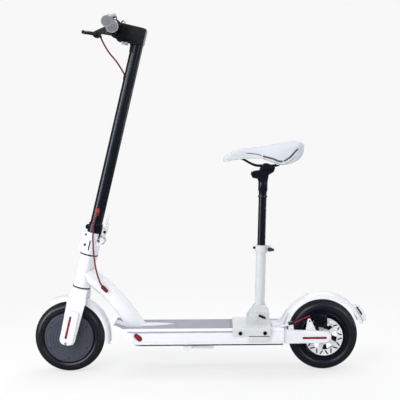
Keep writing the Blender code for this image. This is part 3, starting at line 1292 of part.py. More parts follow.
def rear_cover(name, side, finish):
    """The plastic cover outside a rear arm, with a shallow bed for its reflector."""
    ax = REAR_AXLE.x
    front = DECK_REAR + 0.0032
    outline = rounded([(front, 0.1395, 0.003), (front, 0.0970, 0.003), (ax - 0.0185, 0.0985, 0.02),
                       (ax + 0.019, 0.1010, 0.017), (ax + 0.019, 0.1340, 0.017),
                       (ax - 0.0505, 0.1370, 0.03)],
                      steps=2)
    middle = ARM_INNER + ARM_PLATE + GAP + REAR_COVER_THICKNESS / 2
    cover = plate(name, outline, REAR_COVER_THICKNESS, place(SIDE, 0, side * middle, 0), finish)
    soften(cover, 0.003, 1)
    bed = rounded([(ax - 0.0705, 0.1185, 0.0038), (ax - 0.0705, 0.1105, 0.0038),
                   (ax + 0.0055, 0.1105, 0.0038),
                   (ax + 0.0055, 0.1185, 0.0038)])
    face = side * (middle + REAR_COVER_THICKNESS / 2)
    cut(cover, plate(f"{name}_bed", bed, 0.0024, place(SIDE, 0, face, 0)))
    room = AXLE_NUT_RADIUS + 0.0008
    cut(cover, rod(f"{name}_nut_room", (ax, side * 0.050, REAR_AXLE.z),
                   (ax, side * (middle + 0.0035), REAR_AXLE.z),
                   room, sides=16))
    return cover


def rear_fender(finish):
    """The rear fender with its foot on the deck and the catch for the bell lever's ring."""
    inner = WHEEL_RADIUS + REAR_FENDER_GAP
    shell = fender_shell("rear_fender", REAR_AXLE, inner, REAR_FENDER_START, REAR_FENDER_END, finish)
    foot_low = DECK_TOP + GAP
    inside = inner + 0.0005
    toe = DECK_REAR - 0.0348
    rises = ((0, 0), (0, 0.0040), (0.0175, 0.0065), (0.0285, 0.0115), (0.0360, 0.0190), (0.0425, 0.0290),
             (0.0475, 0.0375), (0.0517, 0.0440))
    foot_outline = [(toe + reach, foot_low + rise) for reach, rise in rises]
    foot_outline += arc(inside, math.radians(146), math.radians(166), 6, (REAR_AXLE.x, REAR_AXLE.z))
    foot_outline.append((toe + 0.0350, foot_low))
    foot = plate("fender_foot", foot_outline, 2 * FENDER_HALF_WIDTH - 0.002, SIDE)
    join(shell, foot)
    catch_x = REAR_AXLE.x - 0.052
    catch = box("fender_catch", (0.014, 0.008, 0.014), (catch_x, 0, WHEEL_RADIUS + inner * 0.92 + 0.0065))
    soften(catch, 0.002)
    join(shell, catch)
    return shell


def tail_light(finish):
    """The lamp on the back of the rear fender."""
    low = WHEEL_RADIUS + REAR_FENDER_GAP + FENDER_SHEET + GAP
    high = low + TAIL_LIGHT_DEPTH
    outline = (arc(low, TAIL_LIGHT_START, TAIL_LIGHT_END, 8)
               + [(high * math.cos(TAIL_LIGHT_END - 0.06), high * math.sin(TAIL_LIGHT_END - 0.06))]
               + arc(high + 0.001, TAIL_LIGHT_END - 0.10, TAIL_LIGHT_START + 0.09, 7)
               + [((high - 0.004) * math.cos(TAIL_LIGHT_START),
                   (high - 0.004) * math.sin(TAIL_LIGHT_START))])
    lamp = plate("tail_light", outline, 0.034, place(SIDE, *REAR_AXLE), finish)
    return soften(lamp, 0.002)


def brake_caliper(finish):
    """The caliper that straddles the rotor, carried on the lug of the left arm."""
    cx, cy, cz = CALIPER_CENTRE
    shape = rounded([(-CALIPER_LENGTH / 2, -CALIPER_HEIGHT / 2 + 0.006, 0.006),
                     (CALIPER_LENGTH / 2, -CALIPER_HEIGHT / 2, 0.006),
                     (CALIPER_LENGTH / 2, CALIPER_HEIGHT / 2 - 0.010, 0.012),
                     (CALIPER_LENGTH / 2 - 0.018, CALIPER_HEIGHT / 2, 0.008),
                     (-CALIPER_LENGTH / 2 + 0.003, CALIPER_HEIGHT / 2 - 0.006, 0.006)])
    inner = cy + 0.0115
    outer = -(ARM_INNER - GAP)
    body = plate("brake_caliper", shape, inner - outer, place(SIDE, cx, (inner + outer) / 2, cz), finish)
    slot = rod("caliper_slot", (REAR_AXLE.x, ROTOR_Y - CALIPER_SLOT / 2, REAR_AXLE.z),
               (REAR_AXLE.x, ROTOR_Y + CALIPER_SLOT / 2, REAR_AXLE.z), ROTOR_RADIUS + 0.0025, sides=32)
    cut(body, slot)
    boss = rod("caliper_boss", (cx, -0.0440, cz), (cx, ARM_FACE_Y + GAP, cz), 0.0090, sides=16)
    join(body, boss)
    cut(body, rod("caliper_pin_hole", (cx, -0.048, cz), (cx, -0.060, cz), 0.0030 + GAP, sides=12))
    return body


def caliper_arm(finish):
    """The arm that the brake wire pulls, on its pin in the caliper."""
    cx, cy, cz = CALIPER_CENTRE
    face = ARM_FACE_Y
    end_x, end_z = cx - ARM_REACH_X, cz + ARM_REACH_Z
    outline = rounded([(cx + 0.008, cz + 0.004, 0.006), (cx - 0.002, cz + 0.0095, 0.004),
                       (end_x - 0.002, end_z + 0.0055, 0.004), (end_x - 0.0045, end_z - 0.0035, 0.004),
                       (cx - 0.006, cz - 0.0085, 0.006), (cx + 0.007, cz - 0.006, 0.006)])
    arm = plate("caliper_arm", outline, ARM_THICKNESS, place(SIDE, 0, face - ARM_THICKNESS / 2, 0), finish)
    pin = rod("caliper_arm_pin", (cx, face - ARM_THICKNESS - 0.002, cz), (cx, -0.0495, cz), 0.0030, sides=12)
    join(arm, pin)
    return arm


def cables(finishes_by_name):
    """The brake cable on the stem, over the fold, inside the frame, and its bare wire to the caliper."""
    red = finishes_by_name["red_cable"]
    on_stem = tube("brake_cable_stem", smooth_route(CABLE_STEM_ROUTE, CABLE_STEP), CABLE_RADIUS, STEERING,
                   red, 1)
    over_fold = tube("brake_cable_loop", smooth_route(CABLE_LOOP_ROUTE, CABLE_STEP), CABLE_RADIUS, WORLD,
                     red, 1)
    in_frame = tube("brake_cable_frame", smooth_route(CABLE_FRAME_ROUTE, HIDDEN_STEP), CABLE_RADIUS, WORLD,
                    red, 1)
    start = Vector(CABLE_FRAME_ROUTE[-1]) + Vector((GAP, 0, GAP * 0.3))
    cx, cy, cz = CALIPER_CENTRE
    end = Vector((cx - ARM_REACH_X - 0.0048, ARM_FACE_Y - ARM_THICKNESS / 2, cz + ARM_REACH_Z + 0.0005))
    wire = rod("brake_wire", tuple(start + Vector((0.0004, 0, 0.0002))), tuple(end), 0.0011, WORLD,
               finishes_by_name["steel"], sides=8)
    return on_stem, over_fold, in_frame, wire


# Seat
def seat_bracket(finish):
    """The bent plate over the deck, bolted to its sides, with the two ears of the seat hinge."""
    low = SEAT_PLATE_TOP - SEAT_SHEET
    inner = DECK_HALF_WIDTH + GAP
    outer = inner + SEAT_SHEET
    middle = (SEAT_FRONT + SEAT_REAR) / 2
    length = SEAT_REAR - SEAT_FRONT
    section = rounded([(-outer, SEAT_CHEEK_BOTTOM, 0.0005), (-outer, SEAT_PLATE_TOP, 0.006),
                       (outer, SEAT_PLATE_TOP, 0.006),
                       (outer, SEAT_CHEEK_BOTTOM, 0.0005), (inner, SEAT_CHEEK_BOTTOM, 0.0005),
                       (inner, low, 0.002),
                       (-inner, low, 0.002), (-inner, SEAT_CHEEK_BOTTOM, 0.0005)])
    body = plate("seat_bracket", section, length, place(FRONT, middle), finish)
    ear_width = SEAT_EAR
    rise = SEAT_PLATE_TOP + SEAT_EAR_RISE
    px = SEAT_PIVOT.x
    ear_outline = rounded([(px - 0.0270, low + 0.001, 0.001), (px - 0.0255, rise - 0.006, 0.012),
                           (px, rise, 0.014),
                           (px + 0.0400, rise - 0.003, 0.010), (SEAT_REAR - 0.001, rise - 0.016, 0.006),
                           (SEAT_REAR - 0.001, low + 0.001, 0.001)])
    for side in (-1, 1):
        ear_y = side * (SEAT_EAR_INNER + ear_width / 2)
        label = "left" if side < 0 else "right"
        ear = plate(f"seat_ear_{label}", ear_outline, ear_width, place(SIDE, 0, ear_y, 0))
        join(body, ear)
        low_cheek = box(f"seat_low_cheek_{label}", (0.066, SEAT_SHEET, 0.016),
                        (SEAT_REAR - 0.037, side * (inner + SEAT_SHEET / 2), SEAT_CHEEK_BOTTOM - 0.007))
        join(body, low_cheek)
    cut(body, rod("seat_latch_pin_hole", (LATCH_X, -0.04, LATCH_Z), (LATCH_X, -0.01, LATCH_Z), 0.0030 + GAP))
    join(body, hinge_pin("seat_pin", SEAT_PIN_RADIUS, 0.0068, SEAT_EAR_INNER + SEAT_EAR,
                         place(SIDE, *SEAT_PIVOT)))
    return body


def seat_tube(finish):
    """The white tube with its flared foot on the hinge, bored for the post."""
    foot_low = SEAT_PLATE_TOP + GAP
    px, pz = SEAT_PIVOT.x, SEAT_PIVOT.z
    outline = ([(px, foot_low)] + arc(SEAT_PIVOT_RISE - GAP, math.radians(-90), math.radians(-200), 8,
                                      (px, pz))
               + [(px - 0.0190, pz + 0.016), (px - 0.0015, pz + 0.0427), (px + 0.0335, pz + 0.0427),
                  (px + 0.0450, pz + 0.0197), (px + 0.0450, foot_low)])
    foot_half = SEAT_EAR_INNER - GAP
    foot = plate("seat_tube", outline, 2 * foot_half, SIDE, finish)
    soften(foot, 0.0015, 1, 50)
    upper = rod("seat_tube_upper", (0, 0, 0.030), (0, 0, SEAT_TUBE_TOP), SEAT_TUBE_RADIUS, SEAT_AXIS,
                sides=20)
    join(foot, upper)
    bore_low = SEAT_TUBE_LOW
    cut(foot, rod("seat_tube_bore", (0, 0, bore_low), (0, 0, SEAT_TUBE_TOP + 0.02), POST_RADIUS + POST_FIT,
                  SEAT_AXIS, sides=16))
    cut(foot, rod("seat_tube_pin_hole", (px, -0.05, pz), (px, 0.05, pz), SEAT_PIN_RADIUS + GAP, sides=12))
    return foot


def seat_latch(finish):
    """The black latch lever at the side of the seat hinge."""
    face = -(SEAT_EAR_INNER + SEAT_EAR + GAP)
    outline = rounded([(-0.0205, 0.0035, 0.003), (-0.0130, 0.0100, 0.003), (0.0025, 0.0045, 0.004),
                       (0.0085, -0.0010, 0.004), (0.0025, -0.0080, 0.004), (-0.0085, -0.0040, 0.003)])
    lever = plate("seat_latch", outline, 0.005, place(SIDE, LATCH_X, face - 0.0025, LATCH_Z), finish)
    pin = rod("seat_latch_pin", (LATCH_X, face - 0.0062, LATCH_Z),
              (LATCH_X, -SEAT_EAR_INNER - 0.0006, LATCH_Z), 0.0030)
    join(lever, pin)
    return lever


def post_clamp(finish):
    """The split clamp at the top of the seat tube."""
    low, high = SEAT_TUBE_TOP - 0.014, SEAT_TUBE_TOP + 0.009
    outer = SEAT_TUBE_RADIUS + 0.0035
    inner = SEAT_TUBE_RADIUS + GAP
    lip = POST_RADIUS + POST_FIT + GAP
    middle = (low + high) / 2
    clamp = rod("post_clamp", (0, 0, low), (0, 0, high), outer, SEAT_AXIS, finish, sides=20)
    ear = box("post_clamp_ear", (0.018, 0.020, high - low - 0.004), (outer + 0.003, 0, middle), SEAT_AXIS)
    soften(ear, 0.002, 1)
    join(clamp, ear)
    cut(clamp, rod("post_clamp_clear", (0, 0, low - 0.01), (0, 0, SEAT_TUBE_TOP + GAP), inner, SEAT_AXIS,
                   sides=20))
    cut(clamp, rod("post_clamp_lip", (0, 0, low - 0.01), (0, 0, high + 0.01), lip, SEAT_AXIS, sides=16))
    cut(clamp, box("post_clamp_split", (0.030, 0.002, high - low + 0.01), (outer + 0.002, 0, middle),
                   SEAT_AXIS))
    cut(clamp, rod("post_clamp_bolt_hole", (outer + 0.006, -0.02, middle), (outer + 0.006, 0.02, middle),
                   0.0026 + GAP, SEAT_AXIS, sides=10))
    return clamp


def post_clamp_lever(finish):
    """The quick-release lever of the post clamp with its skewer."""
    s = SEAT_TUBE_TOP - 0.0025
    u = SEAT_TUBE_RADIUS + 0.0035 + 0.006
    face = -(0.010 + GAP)
    skewer = rod("post_clamp_lever", (u, 0.0165, s), (u, face - 0.0040, s), 0.0026, SEAT_AXIS, finish,
                 sides=10)
    nut = rod("skewer_nut", (u, 0.010 + GAP, s), (u, 0.0165, s), 0.0055, SEAT_AXIS, sides=12)
    cam = rod("skewer_cam", (u, face, s), (u, face - 0.0080, s), 0.0060, SEAT_AXIS, sides=12)
    handle = plate("skewer_handle", rounded([
        (u - 0.004, s + 0.004, 0.002), (u + 0.004, s + 0.006, 0.003), (u + 0.016, s + 0.002, 0.003),
        (u + 0.016, s - 0.004, 0.003), (u + 0.003, s - 0.006, 0.003)]), 0.006,
        place(SIDE, 0, face - 0.0045, 0, SEAT_AXIS))
    join(skewer, nut, cam, handle)
    return skewer


def seat_post(finish):
    """The black post with its collar, thicker head and top nut."""
    low = SEAT_TUBE_TOP - POST_INSERTION
    top = POST_TOP
    profile = [(0, top), (0.0075, top), (0.0105, top - 0.002), (0.0105, top - 0.013), (0.0150, top - 0.015),
               (0.0150, top - 0.052), (0.0128, top - 0.056), (0.0128, COLLAR_S + 0.006),
               (0.0150, COLLAR_S + 0.005),
               (0.0150, COLLAR_S), (POST_RADIUS, COLLAR_S - 0.001), (POST_RADIUS, low), (0, low)]
    return turned("seat_post", profile, SEAT_AXIS, finish, steps=16)


def rail_route():
    """The rails as one wire round the nose, measured from the top of the post."""
    half = [(-0.0929, 0.0000, 0.0456), (-0.0899, 0.0060, 0.0458), (-0.0769, 0.0120, 0.0468),
            (-0.0629, 0.0180, 0.0440), (-0.0409, 0.0215, 0.0350),
            (-0.0209, RAIL_SPREAD, RAIL_RISE + 0.0005), (0.0081, RAIL_SPREAD, RAIL_RISE),
            (0.0351, RAIL_SPREAD, RAIL_RISE - 0.0005), (0.0481, 0.0240, 0.0305), (0.0591, 0.0290, 0.0410),
            (0.0641, 0.0315, 0.0490), (0.0656, 0.0322, 0.0548)]
    left = [(x, -y, z) for x, y, z in reversed(half)]
    return smooth_route(left[:-1] + half, 0.014)


def saddle_clamp(finish):
    """The clamp head that grips the two saddle rails."""
    low, high = POST_TOP + GAP, POST_TOP + 0.044
    lower = plate("saddle_clamp", rounded([
        (-0.014, low, 0.003), (0.014, low, 0.003), (0.025, low + 0.016, 0.005), (0.022, high - 0.006, 0.006),
        (-0.022, high - 0.002, 0.006), (-0.024, low + 0.018, 0.005)]), 0.050, SEAT_AXIS @ SIDE, finish)
    soften(lower, 0.0025)
    cut(lower, tube("clamp_rail_room", rail_route(), RAIL_RADIUS + GAP, SADDLE_PLACE, rings=1))
    return lower


def saddle_rails(finish):
    """The bent wire under the saddle: two rails joined at the nose."""
    return tube("saddle_rails", rail_route(), RAIL_RADIUS, SADDLE_PLACE, finish, rings=1)


# Each station across the saddle, measured from the top of the post: x, half width, top, lower edge of the
# skirt, underside in the middle (the two ends are closed faces without a hollow)
SADDLE_STATIONS = (
    (-0.1264, 0.0130, 0.0585, 0.0390, None), (-0.1179, 0.0185, 0.0665, 0.0370, 0.0440),
    (-0.1049, 0.0220, 0.0740, 0.0390, 0.0480), (-0.0799, 0.0245, 0.0805, 0.0425, 0.0525),
    (-0.0489, 0.0275, 0.0825, 0.0475, 0.0570), (-0.0129, 0.0385, 0.0850, 0.0465, 0.0590),
    (0.0221, 0.0580, 0.0905, 0.0290, 0.0590), (0.0531, 0.0715, 0.0975, 0.0185, 0.0590),
    (0.0831, 0.0780, 0.1040, 0.0240, 0.0610), (0.1091, 0.0765, 0.1055, 0.0350, 0.0640),
    (0.1251, 0.0660, 0.1010, 0.0530, 0.0680), (0.1336, 0.0460, 0.0920, 0.0700, None))


def saddle(finish):
    """The padded saddle: narrow nose, wide crowned back, skirts, a channel down its middle."""
    shape = bmesh.new()
    rings = []
    for x, half, top, skirt, under in SADDLE_STATIONS:
        side = skirt + 0.45 * (top - skirt)
        ring = [
            (0.0, top - 0.0040), (half * 0.28, top), (half * 0.64, top - 0.0030),
            (half * 0.92, top - 0.30 * (top - side)), (half, side), (half * 0.97, skirt + 0.0040)]
        if under is None:
            ring += [(half * 0.88, skirt + 0.0012), (half * 0.66, skirt - 0.0006), (0.0, skirt - 0.0014)]
        else:
            ring += [(half * 0.88, skirt), (half * 0.70, under - 0.0010), (0.0, under)]
        full = ring + [(-y, z) for y, z in reversed(ring[1:-1])]
        rings.append([shape.verts.new((x, y, z)) for y, z in full])
    count = len(rings[0])
    for first, second in zip(rings, rings[1:]):
        for i in range(count):
            j = (i + 1) % count
            shape.faces.new((first[i], first[j], second[j], second[i]))
    for ring in (rings[0], rings[-1]):
        for i in range(count // 2):
            corners = [ring[i], ring[i + 1], ring[(count - i - 1) % count], ring[(count - i) % count]]
            unique = list(dict.fromkeys(corners))
            shape.faces.new(unique)
    bmesh.ops.recalc_face_normals(shape, faces=shape.faces)
    mesh = bpy.data.meshes.new("saddle")
    shape.to_mesh(mesh)
    shape.free()
    pad = add("saddle", mesh, SADDLE_PLACE, finish)
    soft = pad.modifiers.new("padding", "SUBSURF")
    soft.levels = soft.render_levels = 1
    return pad


def build():
    """Builds every piece and hangs it on the joint it turns or slides on."""
    look = finishes()
    frame = axis_empty("frame_axis", WORLD)
    steer = axis_empty("steering_axis", STEERING, frame)
    front_wheel = axis_empty("front_wheel_axis", place(WORLD, *FRONT_AXLE), steer)
    stem = axis_empty("fold_axis", place(WORLD, HINGE_U, 0, HINGE_S, STEERING), steer)
    rear_wheel = axis_empty("rear_wheel_axis", place(WORLD, *REAR_AXLE), frame)
    seat = axis_empty("seat_hinge_axis", place(WORLD, *SEAT_PIVOT), frame)
    post = axis_empty("seat_post_axis", SEAT_AXIS, seat)

    headset_low = HEAD_TUBE_START - GAP
    headset_high = HEAD_TUBE_START + HEAD_TUBE_LENGTH + GAP
    on_stem, over_fold, in_frame, wire = cables(look)
    hang(frame,
         head_tube(look["white_paint"]),
         headset_cup("headset_lower", headset_low - HEADSET_FLANGE, headset_low, headset_low + CUP_DEPTH,
                     look["black_paint"]),
         headset_cup("headset_upper", headset_high, headset_high + HEADSET_FLANGE, headset_high - CUP_DEPTH,
                     look["black_paint"]),
         down_tube(look["white_paint"]), frame_grommet(look["red_reflector"]),
         deck_tray(look["white_paint"]),
         deck_mat(look["grey_rubber"]), bottom_cover(look["black_plastic"]),
         battery_pack(look["battery_wrap"]),
         motor_controller(look["alloy"]), rear_fork(look["white_paint"]),
         rear_cover("rear_cover_left", -1, look["white_plastic"]),
         rear_cover("rear_cover_right", 1, look["white_plastic"]),
         rear_fender(look["white_plastic"]), tail_light(look["red_reflector"]),
         axle("rear_axle", REAR_AXLE, ARM_INNER + ARM_PLATE + GAP, look["steel"],
              REAR_HUB_WIDTH / 2 + 0.0005,
              ARM_INNER - GAP),
         brake_caliper(look["black_paint"]), in_frame, wire, seat_bracket(look["white_paint"]))
    hang(steer,
         fork(look["white_paint"]), fork_cover("fork_cover_left", -1, look["white_plastic"]),
         fork_cover("fork_cover_right", 1, look["white_plastic"]),
         fender_shell("front_fender", FRONT_AXLE, WHEEL_RADIUS + FENDER_GAP, FRONT_FENDER_START,
                      FRONT_FENDER_END,
                      look["white_plastic"]),
         axle("front_axle", FRONT_AXLE, FORK_INNER + BLADE_THICKNESS + GAP, look["steel"],
              MOTOR_WIDTH / 2 + 0.0025,
              FORK_INNER - GAP),
         motor_stator(look["alloy"]), fold_base(look["white_paint"]), over_fold)
    hang(front_wheel, tyre("front_tyre", FRONT_AXLE, look["tyre_rubber"]), motor_shell(look["motor_grey"]))
    hang(rear_wheel, tyre("rear_tyre", REAR_AXLE, look["tyre_rubber"]), rear_rim(look["black_paint"]),
         brake_rotor(look["steel"]))
    hang(stem,
         stem_foot(look["black_paint"]), stem_tube(look["black_paint"]), head(look["black_plastic"]),
         dash_panel(look["gloss_black"]), headlight(look["clear_lens"]), handlebar(look["black_paint"]),
         grip("grip_left", -1, look["grip_rubber"]), grip("grip_right", 1, look["grip_rubber"]),
         brake_perch(look["black_plastic"]), bell(look["chrome"]), on_stem)
    for name, matrix, holder, piece in (
            ("fold_lever_axis", place(WORLD, LEVER_PIVOT_U, 0, LEVER_PIVOT_S, STEERING), stem,
             fold_lever(look["white_paint"])),
            ("power_button_axis", place(WORLD, -0.053, 0, HEAD_TOP, STEERING), stem,
             power_button(look["alloy"])),
            ("brake_lever_axis", place(WORLD, BAR_U - 0.037, PERCH_Y, BAR_S - 0.012, STEERING), stem,
             brake_lever(look["black_paint"])),
            ("throttle_axis", place(WORLD, BAR_U, THROTTLE_Y, BAR_S, STEERING), stem,
             throttle(look["black_plastic"])),
            ("bell_lever_axis", place(WORLD, BAR_U + 0.0215, BELL_Y, BAR_S + 0.012, STEERING), stem,
             bell_lever(look["black_plastic"])),
            ("caliper_arm_axis", place(WORLD, *CALIPER_CENTRE), frame, caliper_arm(look["steel"])),
            ("kickstand_axis", place(WORLD, *stand_pivot()), frame, kickstand(look["black_paint"])),
            ("charge_flap_axis", flap_place(), frame, charge_flap(look["red_reflector"])),
            ("seat_latch_axis", place(WORLD, LATCH_X, 0, LATCH_Z), frame, seat_latch(look["black_plastic"])),
            ("post_clamp_lever_axis", place(WORLD, SEAT_TUBE_RADIUS + 0.0095, 0, SEAT_TUBE_TOP, SEAT_AXIS),
             seat,
             post_clamp_lever(look["black_paint"]))):
        hang(axis_empty(name, matrix, holder), piece)
    hang(seat, seat_tube(look["white_paint"]), post_clamp(look["black_paint"]))
    hang(post, seat_post(look["black_paint"]), saddle_clamp(look["black_paint"]),
         saddle_rails(look["steel"]),
         saddle(look["saddle_cover"]))


for leftover in list(bpy.data.objects):
    bpy.data.objects.remove(leftover, do_unlink=True)
bpy.context.scene.collection.children.link(parts)
bpy.context.scene.collection.children.link(cutters)
build()
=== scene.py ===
"""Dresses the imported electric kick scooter: finishes, fine forms, padded saddle, studio and camera.

Metres, +Z up, the front toward -X and the rider's left toward -Y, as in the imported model. Pieces on the
steering axis are placed in a leaning frame: u is measured rearward from the axis and s up the axis from the
front axle.
"""
import logging
import math
from dataclasses import dataclass
from enum import Enum
from typing import Callable, Iterable, Sequence

import bmesh
import bpy
from mathutils import Matrix, Vector
from mathutils.bvhtree import BVHTree


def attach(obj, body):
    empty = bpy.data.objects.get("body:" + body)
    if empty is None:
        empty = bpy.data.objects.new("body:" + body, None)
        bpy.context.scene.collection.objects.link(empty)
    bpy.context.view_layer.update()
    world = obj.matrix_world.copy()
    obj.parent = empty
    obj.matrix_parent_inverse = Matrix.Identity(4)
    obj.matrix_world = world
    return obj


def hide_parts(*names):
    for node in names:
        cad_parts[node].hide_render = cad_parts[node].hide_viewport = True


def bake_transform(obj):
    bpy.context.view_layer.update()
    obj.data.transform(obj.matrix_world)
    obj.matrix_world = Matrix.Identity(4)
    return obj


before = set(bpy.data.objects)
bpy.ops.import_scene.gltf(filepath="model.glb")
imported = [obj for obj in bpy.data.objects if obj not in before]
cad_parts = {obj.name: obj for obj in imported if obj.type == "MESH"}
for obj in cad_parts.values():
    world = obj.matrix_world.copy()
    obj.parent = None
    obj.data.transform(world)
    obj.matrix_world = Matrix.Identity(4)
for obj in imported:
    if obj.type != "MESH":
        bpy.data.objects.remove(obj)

log = logging.getLogger("scooter")

Point2 = tuple[float, float]
Point3 = tuple[float, float, float]
Piece = bpy.types.Object
Tree = bpy.types.NodeTree
Node = bpy.types.Node
Socket = bpy.types.NodeSocket

RAKE = math.radians(13.65)
FRONT_AXLE = Vector((-0.4175, 0.0, 0.111))
REAR_AXLE = Vector((0.3905, 0.0, 0.111))
WORLD = Matrix.Identity(4)
SIDE = Matrix.Rotation(math.radians(90), 4, "X")
STEERING = Matrix.Translation(FRONT_AXLE) @ Matrix.Rotation(RAKE, 4, "Y")
SEAT_AXIS = Matrix.Translation((0.1888, 0, 0.1653)) @ Matrix.Rotation(math.radians(2), 4, "Y")
MERGE = 0.00001
CREASE_ANGLE = 34.0
ROUNDED_ANGLE = 32.0
BOLT_SIDES = 24
GLOSS_DRIFT = 0.05
HALF_WAVE = 0.157  # metres, of the wave texture at a scale of 1


# Colour and nodes
def linear(colour: str) -> tuple[float, float, float, float]:
    """Turns an sRGB hex colour into linear light.

    Args:
        colour: the colour as "#RRGGBB".

    Returns:
        Red, green, blue and an alpha of one.
    """
    channels = [int(colour[i:i + 2], 16) / 255 for i in (1, 3, 5)]
    red, green, blue = (c / 12.92 if c <= 0.04045 else ((c + 0.055) / 1.055) ** 2.4 for c in channels)
    return red, green, blue, 1.0


def add_node(tree: Tree, kind: str, inputs: dict | None = None, **settings) -> Node:
    """Adds a node with its settings and links.

    Args:
        tree: the node tree it goes into.
        kind: the node's Blender type.
        inputs: socket name or number to a value, or to the output socket that it is linked from.
        settings: the node's own properties.

    Returns:
        The new node.
    """
    made = tree.nodes.new(kind)
    for key, value in settings.items():
        setattr(made, key, value)
    for key, value in (inputs or {}).items():
        if isinstance(value, Socket):
            tree.links.new(value, made.inputs[key])
        else:
            made.inputs[key].default_value = value
    return made


def per_metre(millimetres: float) -> float:
    """The texture scale at which one feature is this many millimetres wide."""
    return 1000.0 / millimetres


# Finishes
@dataclass(frozen=True)
class Finish:
    """A real material and how its surface was made.

    The colour is what the eye takes for the material's own colour, and spread is how far it drifts over the
    surface, as a share of its lightness.
    """

    name: str
    slot: str
    colour: str
    roughness: float
    metallic: float = 0.0
    ior: float = 1.5
    coat: float = 0.0
    coat_roughness: float = 0.08
    transmission: float = 0.0
    sheen: float = 0.0
    spread: float = 0.06
    grain: float = 1.0
    relief: float = 0.00003

    def make(self) -> bpy.types.Material:
        """Makes the Blender material.

        Returns:
            The material, with its constant values on the shader's own sockets.
        """
        made = bpy.data.materials.new(self.name)
        made.use_nodes = True
        tree = made.node_tree
        shader = tree.nodes["Principled BSDF"]
        values = {"Base Color": linear(self.colour), "Roughness": self.roughness, "Metallic": self.metallic,
                  "Coat Weight": self.coat, "Coat Roughness": self.coat_roughness,
                  "Transmission Weight": self.transmission, "Sheen Weight": self.sheen}
        if not self.metallic:
            values["IOR"] = self.ior
        for key, value in values.items():
            shader.inputs[key].default_value = value
        made.diffuse_color = linear(self.colour)
        self.pattern(tree, shader)
        return made

    def pattern(self, tree: Tree, shader: Node) -> None:
        """Links colour, gloss and relief: here an even, faintly cloudy skin with a fine grain."""
        point = add_node(tree, "ShaderNodeTexCoord").outputs["Object"]
        cloud = add_node(tree, "ShaderNodeTexNoise", {"Vector": point, "Scale": per_metre(70), "Detail": 3.0})
        fine = add_node(tree, "ShaderNodeTexNoise", {"Vector": point, "Scale": per_metre(self.grain),
                                                     "Detail": 2.0})
        self.drift(tree, shader, cloud.outputs["Fac"])
        self.raise_skin(tree, shader, fine.outputs["Fac"], self.relief)

    def drift(self, tree: Tree, shader: Node, field: Socket) -> None:
        """Lets colour and roughness drift with a field from 0 to 1.

        Args:
            tree: the material's node tree.
            shader: its Principled shader.
            field: the field that says where the surface is lighter and duller.
        """
        base = linear(self.colour)
        dark = tuple(c * (1 - self.spread) for c in base[:3]) + (1.0,)
        light = tuple(min(1.0, c * (1 + self.spread)) for c in base[:3]) + (1.0,)
        shade = add_node(tree, "ShaderNodeMix", {"Factor": field, "A": dark, "B": light}, data_type="RGBA")
        tree.links.new(shade.outputs["Result"], shader.inputs["Base Color"])
        gloss = add_node(tree, "ShaderNodeMapRange", {
            "Value": field, "From Min": 0.3, "From Max": 0.7,
            "To Min": self.roughness - GLOSS_DRIFT, "To Max": self.roughness + GLOSS_DRIFT})
        tree.links.new(gloss.outputs["Result"], shader.inputs["Roughness"])

    def raise_skin(self, tree: Tree, shader: Node, height: Socket, relief: float) -> None:
        """Raises the surface with a height field.

        Args:
            tree: the material's node tree.
            shader: its Principled shader.
            height: the field from 0 to 1.
            relief: the height in metres that 1 stands for.
        """
        bump = add_node(tree, "ShaderNodeBump", {"Height": height, "Distance": relief, "Strength": 1.0})
        tree.links.new(bump.outputs["Normal"], shader.inputs["Normal"])


@dataclass(frozen=True)
class EdgeWorn(Finish):
    """A painted or moulded skin whose edges are rubbed a little lighter."""

    edge: str = "#FFFFFF"
    rub: float = 0.35

    def pattern(self, tree: Tree, shader: Node) -> None:
        """Adds rubbed edges, broken up by a coarse noise, to the even skin."""
        point = add_node(tree, "ShaderNodeTexCoord").outputs["Object"]
        cloud = add_node(tree, "ShaderNodeTexNoise", {"Vector": point, "Scale": per_metre(55), "Detail": 4.0})
        fine = add_node(tree, "ShaderNodeTexNoise", {"Vector": point, "Scale": per_metre(self.grain),
                                                     "Detail": 2.0})
        chips = add_node(tree, "ShaderNodeTexNoise", {"Vector": point, "Scale": per_metre(9), "Detail": 6.0})
        self.drift(tree, shader, cloud.outputs["Fac"])
        ridge = add_node(tree, "ShaderNodeNewGeometry").outputs["Pointiness"]
        sharp = add_node(tree, "ShaderNodeMapRange", {
            "Value": ridge, "From Min": 0.58, "From Max": 0.70, "To Min": 0.0, "To Max": self.rub})
        broken = add_node(tree, "ShaderNodeMath", {0: sharp.outputs["Result"], 1: chips.outputs["Fac"]},
                          operation="MULTIPLY")
        body = shader.inputs["Base Color"].links[0].from_socket
        worn = add_node(tree, "ShaderNodeMix", {"Factor": broken.outputs["Value"], "A": body,
                                                "B": linear(self.edge)}, data_type="RGBA")
        tree.links.new(worn.outputs["Result"], shader.inputs["Base Color"])
        self.raise_skin(tree, shader, fine.outputs["Fac"], self.relief)


